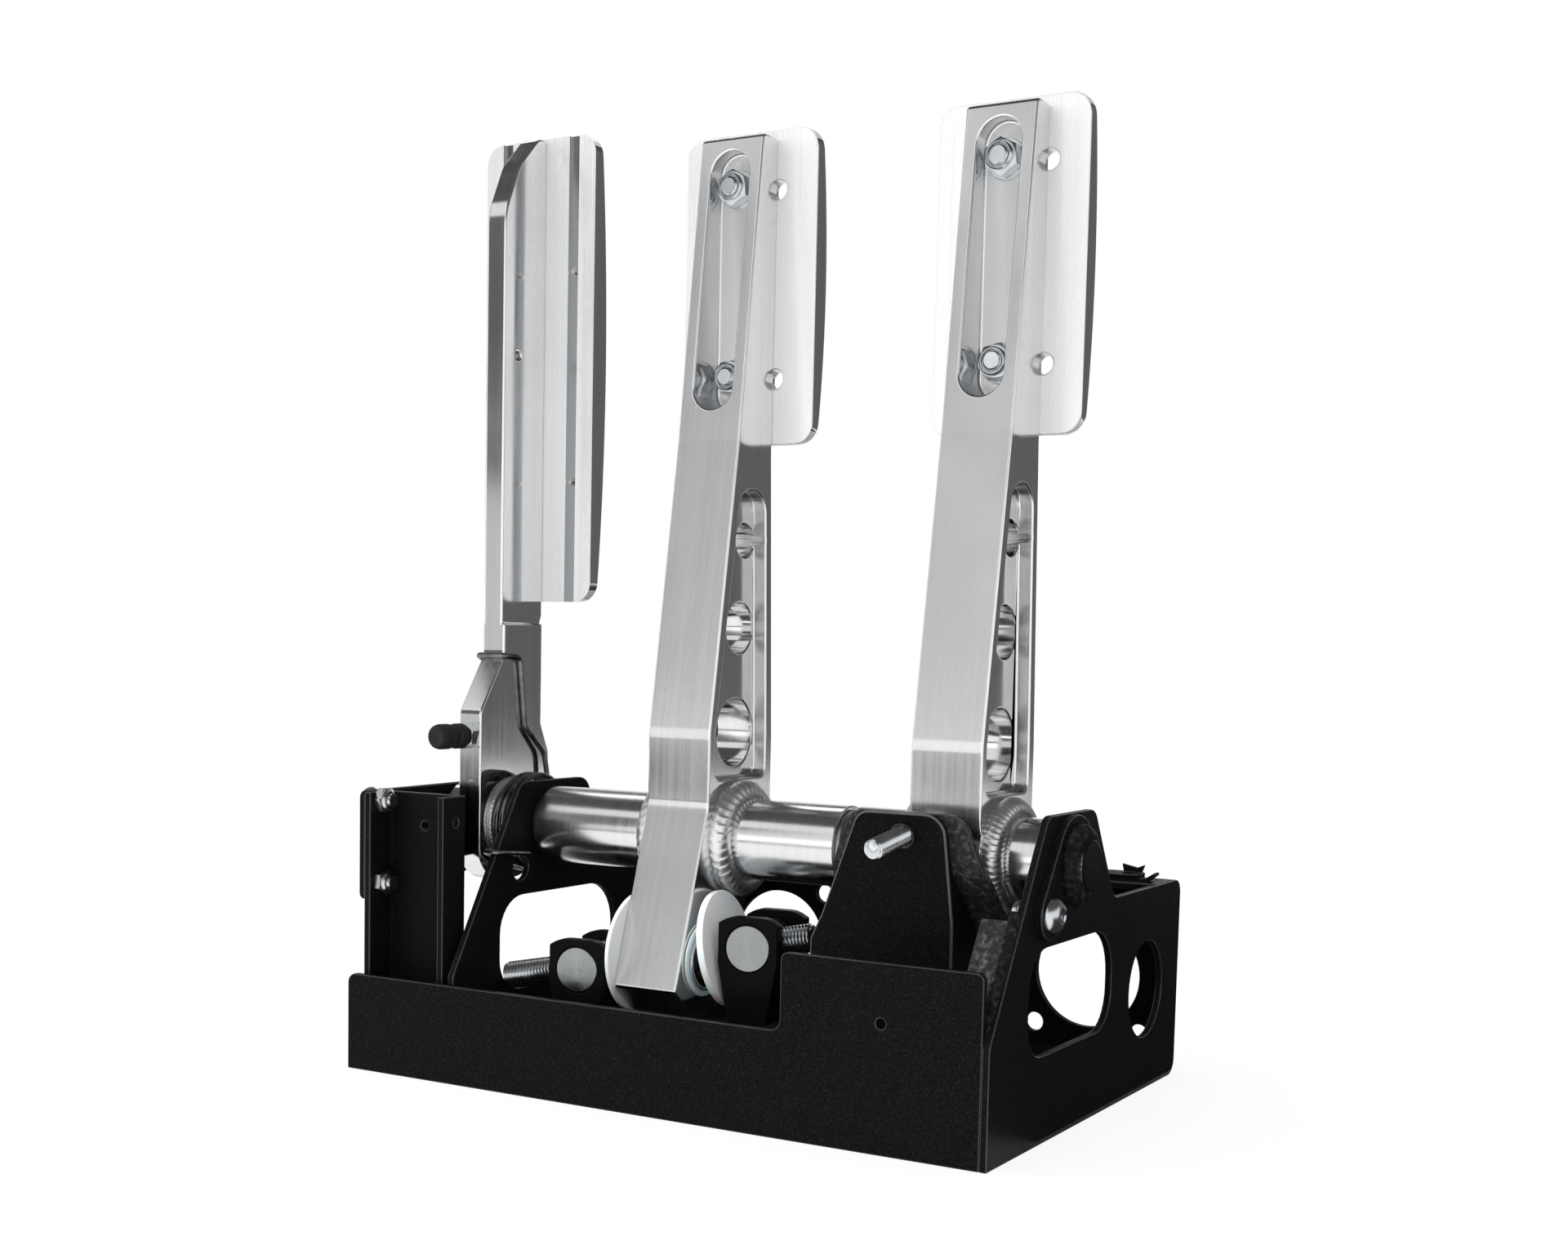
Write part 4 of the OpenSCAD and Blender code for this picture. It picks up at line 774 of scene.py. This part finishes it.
# %% A tree for fasteners
scatter_tree, given = start_tree("fasteners", {
    "Piece": ("Object", None), "Turn": ("Rotation", None), "Spin": ("Float", 3.0), "Seed": ("Int", 4)})
make = partial(add, scatter_tree)
angle = make("FunctionNodeRandomValue", {"Seed": given["Seed"]}, data_type="FLOAT")
scatter_tree.links.new(given["Spin"], angle.inputs[3])
spin = make("FunctionNodeAxisAngleToRotation", {"Axis": (0, 0, 1), "Angle": angle.outputs[1]}).outputs[0]
turn = make("FunctionNodeRotateRotation", {"Rotation": given["Turn"], "Rotate By": spin},
            rotation_space="LOCAL").outputs[0]
piece = make("GeometryNodeObjectInfo", {"Object": given["Piece"]}).outputs["Geometry"]
copies = make("GeometryNodeInstanceOnPoints",
              {"Points": given["Geometry"], "Instance": piece, "Rotation": turn}).outputs[0]
end_tree(scatter_tree, given, copies)

# %% Setting fasteners in place
TOWARDS_FRONT, TOWARDS_REAR, TOWARDS_LEFT, TOWARDS_RIGHT = (0, -1, 0), (0, 1, 0), (-1, 0, 0), (1, 0, 0)


def fasten(node, template, places, direction, seed=4, material=zinc_steel):
    """Copies of a template at places, facing a direction, seated as that node."""
    name = node + ".look"
    piece = grow(name, points_mesh(name, [place(*p) for p in places]), scatter_tree, {
        "Piece": template, "Turn": tuple(facing(direction)), "Seed": seed, "Spin": 3.0,
        "Finish": material})
    piece.data.set_sharp_from_angle(angle=math.radians(32))
    bpy.data.objects.remove(template)
    seat(piece, node)


# %% Lock nuts, washers and bolts behind the pads
SLOT_FLOOR_Y, WASHER, SHANK = 86.5, 1.5, 20.5
bolt_heights = [PIVOT_Z + 192.5, PIVOT_Z + 270.5]
for pedal, x, seed in (("brake", BRAKE_X, 3), ("clutch", CLUTCH_X, 8)):
    fasten(pedal + "_pad_nuts", lock_nut("nut", 13.0, 7.6, 4.0),
           [(x, SLOT_FLOOR_Y - WASHER, z) for z in bolt_heights], TOWARDS_FRONT, seed)
    washer = turned("washer", [(4.2, 0, 0), (7.8, 0, 0), (8.0, 0.2, 0), (8.0, 1.3, 0), (7.8, WASHER, 0),
                               (4.2, WASHER, 0)])
    fasten(pedal + "_pad_washers", washer, [(x, SLOT_FLOOR_Y, z) for z in bolt_heights],
           TOWARDS_FRONT, seed)
    shank = rod_piece("shank", (BASE_WIDTH / 2, BASE_DEPTH / 2, 0), (0, 0, 1), SHANK, M8)
    head = turned("head", [(0.05, SHANK, 0), (6.6, SHANK, 0), (7.0, 20.9, 0), (7.0, 24.2, 0),
                           (6.5, 24.9, 0), (3.0, 24.9, 0), (2.9, 22.6, 0), (0.05, 22.4, 0)])
    head.data.materials.append(zinc_steel)
    fasten(pedal + "_pad_bolts", joined("bolt", [shank, head]),
           [(x, SLOT_FLOOR_Y - 10, z) for z in bolt_heights], TOWARDS_REAR, seed)

# %% Fasteners of the base
RETAINER_Y, RETAINER_Z = 46.5, 88
fasten("clutch_stop_nut", plain_nut("nut", 13.0, 5.0, 4.0), [stud_at + stud_way * 7.6], stud_way, 2)
fasten("retainer_nut", lock_nut("nut", 13.0, 6.5, 4.0), [(BASE_WIDTH - SHEET, RETAINER_Y, RETAINER_Z)],
       TOWARDS_LEFT, 2)
screw = turned("screw", [
    (0.05, -14.5, 0), (4.0, -14.5, 0), (4.0, 0, 0), (7.0, 0, 0), (7.0, 0.7, 0), (6.4, 2.3, 0),
    (5.2, 3.6, 0), (4.0, 4.3, 0), (3.3, 4.4, 0), (0, 3.9, 1), (0, 1.9, 1), (0.05, 1.4, 0)], 5.0, 9.0)
fasten("retainer_screw", screw, [(BASE_WIDTH + SHEET, RETAINER_Y, RETAINER_Z)], TOWARDS_RIGHT, 5)
screw_heights = [PIVOT_Z - 24.5, PIVOT_Z + 11]
screw = turned("screw", [
    (0.05, -13, 0), (3.0, -13, 0), (3.0, 0, 0), (5.25, 0, 0), (5.2, 0.7, 0), (4.6, 2.0, 0),
    (3.2, 3.1, 0), (2.4, 3.3, 0), (0, 2.9, 1), (0, 1.4, 1), (0.05, 1.0, 0)], 4.0, 9.0)
fasten("outrigger_screws", screw, [(2, 12, z) for z in screw_heights], TOWARDS_LEFT, 5)
fasten("outrigger_nuts", lock_nut("nut", 10.0, 5.0, 3.0), [(8, 12, z) for z in screw_heights],
       TOWARDS_RIGHT, 6)

# %% [markdown]
# ### The throttle's stop
# A bolt in the arm's front edge carries a lock nut and a moulded rubber bumper with a waist.

# %% Stop bolt, nut and rubber
STOP_Z, STOP_NUT_Y = PIVOT_Z + 38.5, PIVOT_Y - 30.0
seat(rod_piece("throttle_stop_bolt.look", (THROTTLE_X, STOP_NUT_Y - 9, STOP_Z), TOWARDS_REAR, 28, M6),
     "throttle_stop_bolt")
fasten("throttle_stop_nut", plain_nut("nut", 10.0, 5.0, 3.0), [(THROTTLE_X, STOP_NUT_Y + 1, STOP_Z)],
       TOWARDS_REAR, 7)
bumper = turned("bumper", [
    (3.1, 0, 0), (5.2, 0, 0), (5.5, 0.4, 0), (5.5, 4.2, 0), (5.2, 4.8, 0), (4.3, 5.4, 0), (4.2, 7.4, 0),
    (4.4, 8.0, 0), (5.3, 8.7, 0), (5.5, 9.5, 0), (5.5, 14.4, 0), (5.1, 16.0, 0), (4.2, 16.9, 0),
    (3.0, 17.0, 0), (1.6, 16.3, 0), (0.05, 16.1, 0), (0.05, 9.2, 0), (3.1, 9.2, 0)])
fasten("throttle_stop_rubber", bumper, [(THROTTLE_X, STOP_NUT_Y, STOP_Z)], TOWARDS_FRONT,
       material=black_rubber)
screw = turned("screw", [(0.05, -13, 0), (2.5, -13, 0), (2.5, 5, 0), (4.6, 5, 0), (4.6, 7.2, 0),
                         (4.2, 7.7, 0), (2.0, 7.8, 0), (1.8, 6.4, 0), (0.05, 6.2, 0)])
fasten("throttle_pad_screws", screw,
       [(THROTTLE_X, PAD_BACK_Y, z) for z in (PIVOT_Z + 152, PIVOT_Z + 245)], TOWARDS_REAR)

# %% [markdown]
# ### The throttle's return spring
# A torsion spring is one wire. It hooks round the arm's front edge, runs down the arm's side in kinked
# steps, winds round the pivot tube and hooks round the side plate's front edge. The route comes from the
# same sizes as the CAD wire, with finer steps.

# %% A tree for wire
wire_tree, given = start_tree("wire", {"Radius": ("Float", 0.0012)})
make = partial(add, wire_tree)
path = make("GeometryNodeMeshToCurve", {"Mesh": given["Geometry"]}).outputs[0]
ring = make("GeometryNodeCurvePrimitiveCircle", {"Resolution": 14, "Radius": given["Radius"]}).outputs[0]
tube = make("GeometryNodeCurveToMesh",
            {"Curve": path, "Profile Curve": ring, "Fill Caps": True}).outputs[0]
end_tree(wire_tree, given, tube)

# %% The wire's route
WIRE, COIL, PITCH, TURNS, GAP = 1.2, 21.0, 3.1, 2, 0.3
PLATE_LEFT, PLATE_RIGHT = 52.3, 55.3
leg_x = THROTTLE_X + THROTTLE_WIDTH / 2 + GAP + WIRE
coil_end_x = PLATE_LEFT - WIRE - 1.6
hook_top, hook_low = Vector((PIVOT_Y - 9.9, PIVOT_Z + 73.8)), Vector((PIVOT_Y - 40.6, PIVOT_Z - 9.8))


def tangent_turn(hook, side):
    """The angle on the coil where a straight leg to the hook leaves it."""
    arm = hook - Vector((PIVOT_Y, PIVOT_Z))
    return math.atan2(arm.y, arm.x) + side * math.acos(COIL / arm.length)


def bend(a, b, c, reach=2.6, steps=6):
    """A rounded corner of the wire at b."""
    p, q = b + (a - b).normalized() * reach, b + (c - b).normalized() * reach
    return [p * (1 - s) ** 2 + b * 2 * s * (1 - s) + q * s * s
            for s in (i / steps for i in range(steps + 1))]


first, last = 0.0, tangent_turn(hook_low, 1) - 2 * math.pi * (TURNS + 1)
sweep = first - last
coil_from = coil_end_x - PITCH * sweep / (2 * math.pi)
count = 150
coil = [Vector((coil_from + (coil_end_x - coil_from) * i / count,
                PIVOT_Y + COIL * math.cos(first - sweep * i / count),
                PIVOT_Z + COIL * math.sin(first - sweep * i / count))) for i in range(count + 1)]
top_end = Vector((THROTTLE_X - THROTTLE_WIDTH / 2 - GAP - WIRE, hook_top.x + 6, hook_top.y - 2.5))
top_left, top_right = Vector((top_end.x, *hook_top)), Vector((leg_x, *hook_top))
low_left, low_right = Vector((coil_end_x, *hook_low)), Vector((PLATE_RIGHT + GAP + WIRE, *hook_low))
low_end = Vector((low_right.x, hook_low.x + 22, hook_low.y - 2.4))
leg = [top_end, top_left, top_right, Vector((leg_x, PIVOT_Y + 1.8, hook_top.y - 0.8)),
       Vector((leg_x, PIVOT_Y + 5.9, PIVOT_Z + 42)),
       Vector((leg_x + 1.1, PIVOT_Y + 18.9, PIVOT_Z + 29.7)),
       Vector((leg_x + 1.5, PIVOT_Y + 20.5, PIVOT_Z + 21)), coil[0]]
route = [top_end, *[p for a, b, c in zip(leg, leg[1:], leg[2:]) for p in bend(a, b, c)], *coil,
         *bend(coil[-1], low_left, low_right), *bend(low_left, low_right, low_end), low_end]

# %% The spring, built once along its route
spring = grow("throttle_spring.look", line_mesh("wire", [place(*p) for p in route]), wire_tree,
              {"Radius": WIRE / 1000, "Finish": spring_steel})
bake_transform(spring)
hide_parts("throttle_spring")

# %% [markdown]
# ## The studio
# The photograph has a white ground and soft light from above and the left. The floor stays pale, keeps
# the object's shadow and fades to white away from it, so that no horizon shows.

# %% Floor and world
FADE_FROM, FADE_TO = 0.25, 0.9


def looked_at(tree):
    """The kinds of ray, and 1 for those that the eye, a mirror or a clear piece sends out."""
    rays = add(tree, "ShaderNodeLightPath").outputs
    return rays, reckon(tree, "MAXIMUM", rays["Is Camera Ray"], reckon(
        tree, "MAXIMUM", rays["Is Glossy Ray"], rays["Is Transmission Ray"]))


shape = bmesh.new()
bmesh.ops.create_grid(shape, x_segments=1, y_segments=1, size=6.0)
floor_mesh = bpy.data.meshes.new("floor")
shape.to_mesh(floor_mesh)
shape.free()
floor_paint = bpy.data.materials.new("floor_paint")
floor_paint.use_nodes = True
t = floor_paint.node_tree
t.nodes.remove(t.nodes["Principled BSDF"])
rays, seen = looked_at(t)
matt = add(t, "ShaderNodeBsdfDiffuse", {"Color": (0.8, 0.8, 0.8, 1)}).outputs[0]
white = add(t, "ShaderNodeEmission", {"Color": (1, 1, 1, 1), "Strength": 1.0}).outputs[0]
out = add(t, "ShaderNodeVectorMath", {0: add(t, "ShaderNodeTexCoord").outputs["Object"]},
          operation="LENGTH").outputs["Value"]
share = reckon(t, "SUBTRACT", spread(t, out, 0.88, 1.0, FADE_FROM, FADE_TO), reckon(
    t, "MULTIPLY", rays["Is Glossy Ray"], 0.3))
both = add(t, "ShaderNodeMixShader",
           {0: reckon(t, "MULTIPLY", seen, share), 1: matt, 2: white}).outputs[0]
t.links.new(both, t.nodes["Material Output"].inputs["Surface"])
floor = show("floor", floor_mesh, floor_paint)
world = bpy.data.worlds.new("studio")
bpy.context.scene.world = world
world.use_nodes = True
t = world.node_tree
rays, seen = looked_at(t)
t.nodes["Background"].inputs["Color"].default_value = (1, 1, 1, 1)
t.links.new(spread(t, seen, 0.95, 1.0), t.nodes["Background"].inputs["Strength"])

# %% Lamps


def softbox(name, size, power, at, towards):
    """A square area lamp that faces a point."""
    lamp = bpy.data.lights.new(name, "AREA")
    lamp.shape, lamp.size, lamp.energy = "SQUARE", size, power
    holder = bpy.data.objects.new(name, lamp)
    bpy.context.scene.collection.objects.link(holder)
    holder.location = at
    holder.rotation_euler = (Vector(towards) - Vector(at)).to_track_quat("-Z", "Y").to_euler()
    holder.visible_glossy = False


softbox("overhead", 1.2, 15, (-0.2, -0.3, 1.6), (0, 0, 0.15))
softbox("left", 0.9, 10, (-1.3, -0.9, 0.8), (0, 0, 0.15))
softbox("right", 0.7, 1, (1.4, -0.1, 0.9), (0, 0, 0.2))


# %% [markdown]
# ### Something to mirror
# Polished metal shows its surroundings, so a photographer stands dark cards round it. These are seen in
# reflections only. A tent has a dark roof and dark upper walls over a white foot. A card at the right
# rear darkens the arms' sides, and one on the floor keeps the right plate black. At the left front stand
# a dark foot, a bright strip and a grey card above it, for the bends and fronts of the arms. Before them
# stands a narrow dark card on a grey foot, for the throttle's fin, and a bright card hangs high at the
# left rear.

# %% Cards that only mirrors see


def mirror_card(name, made, dark, fade=None):
    """A card from a bmesh. With a fade it goes from white at the first height to dark at the second."""
    mesh = bpy.data.meshes.new(name)
    made.to_mesh(mesh)
    made.free()
    paint = bpy.data.materials.new(name)
    paint.use_nodes = True
    tree = paint.node_tree
    tree.nodes.remove(tree.nodes["Principled BSDF"])
    glow = add(tree, "ShaderNodeEmission", {"Color": (1, 1, 1, 1), "Strength": dark})
    if fade:
        height = add(tree, "ShaderNodeSeparateXYZ",
                     {0: add(tree, "ShaderNodeTexCoord").outputs["Object"]}).outputs[2]
        tree.links.new(spread(tree, height, 1.0, dark, *fade), glow.inputs["Strength"])
    tree.links.new(glow.outputs[0], tree.nodes["Material Output"].inputs["Surface"])
    card = show(name, mesh, paint)
    card.visible_camera = card.visible_diffuse = card.visible_shadow = card.visible_transmission = False


def sheet(move):
    """A bmesh of a square metre, scaled, turned and moved by a matrix."""
    made = bmesh.new()
    bmesh.ops.create_grid(made, x_segments=1, y_segments=1, size=0.5)
    made.transform(move)
    return made


def upright(width, low, high, at):
    """An upright sheet at a place on the floor, facing the object."""
    turn = Vector((-at[0], -at[1], 0)).to_track_quat("Z", "Y").to_matrix().to_4x4()
    return sheet(Matrix.Translation((*at, (low + high) / 2)) @ turn
                 @ Matrix.Diagonal((width, high - low, 1, 1)))


# %% The tent and the cards
TENT_RADIUS, TENT_LOW, TENT_HIGH = 2.4, 0.6, 3.0
tent = bmesh.new()
bmesh.ops.create_cone(tent, cap_ends=True, segments=64, radius1=TENT_RADIUS, radius2=TENT_RADIUS,
                      depth=TENT_HIGH - TENT_LOW)
tent.transform(Matrix.Translation((0, 0, (TENT_LOW + TENT_HIGH) / 2)))
floor_cap = [face for face in tent.faces if face.normal.z < -0.9]
bmesh.ops.delete(tent, geom=floor_cap, context="FACES_ONLY")
mirror_card("tent", tent, 0.08, (0.8, 1.5))
# Width, foot and top of the card, its place on the floor and its brightness
for name, width, low, high, at, glow in [
        ("card_right", 2.0, -0.01, 1.3, (1.1, 1.65), 0.13),
        ("card_low", 2.0, 0.0, 0.1, (-0.85, -1.25), 0.1),
        ("strip_front", 2.4, 0.1, 0.5, (-0.8, -1.4), 1.5),
        ("card_front", 2.4, 0.5, 1.9, (-0.8, -1.4), 0.9),
        ("card_bright", 1.2, 1.15, 1.55, (-0.8, 0.8), 2.2),
        ("card_fin", 0.5, 0.36, 1.0, (-0.97, -1.05), 0.14),
        ("foot_fin", 0.5, 0.06, 0.36, (-0.97, -1.05), 0.65)]:
    mirror_card(name, upright(width, low, high, at), glow)
mirror_card("card_floor", sheet(Matrix.Translation((0.5, 0.55, 0.002))
                                @ Matrix.Rotation(math.radians(-30), 4, "Z")
                                @ Matrix.Diagonal((1.1, 1.4, 1, 1))), 0.04)

# %% [markdown]
# ## Camera
# The camera was fitted to the photograph's straight edges. It stands at the left front of the base, a
# little above the pivot line, and its frame is shifted, because the picture was cropped.

# %% Camera
PICTURE_WIDE, PICTURE_HIGH, SENSOR = 1920, 1536, 36
FOCAL_PIXELS, CENTRE_X, CENTRE_Y = 2395.1, 936.9, 995.0
turn, dip, roll = math.radians(30.196), math.radians(-4.823), math.radians(1.2417)
forward = Vector((-math.sin(turn) * math.cos(dip), math.cos(turn) * math.cos(dip), math.sin(dip)))
level = Vector((math.cos(turn), math.sin(turn), 0))
above = level.cross(forward)
right = level * math.cos(roll) + above * math.sin(roll)
up = above * math.cos(roll) - level * math.sin(roll)
lens = bpy.data.cameras.new("camera")
lens.sensor_width, lens.lens = SENSOR, FOCAL_PIXELS * SENSOR / PICTURE_WIDE
lens.shift_x = (PICTURE_WIDE / 2 - CENTRE_X) / PICTURE_WIDE
lens.shift_y = (CENTRE_Y - PICTURE_HIGH / 2) / PICTURE_WIDE
camera = bpy.data.objects.new("camera", lens)
bpy.context.scene.collection.objects.link(camera)
camera.matrix_world = Matrix.Translation((0.4227, -0.7327, 0.1849)) @ Matrix(
    (right, up, -forward)).transposed().to_4x4()
bpy.context.scene.camera = camera
bpy.context.scene.view_settings.view_transform = "Standard"
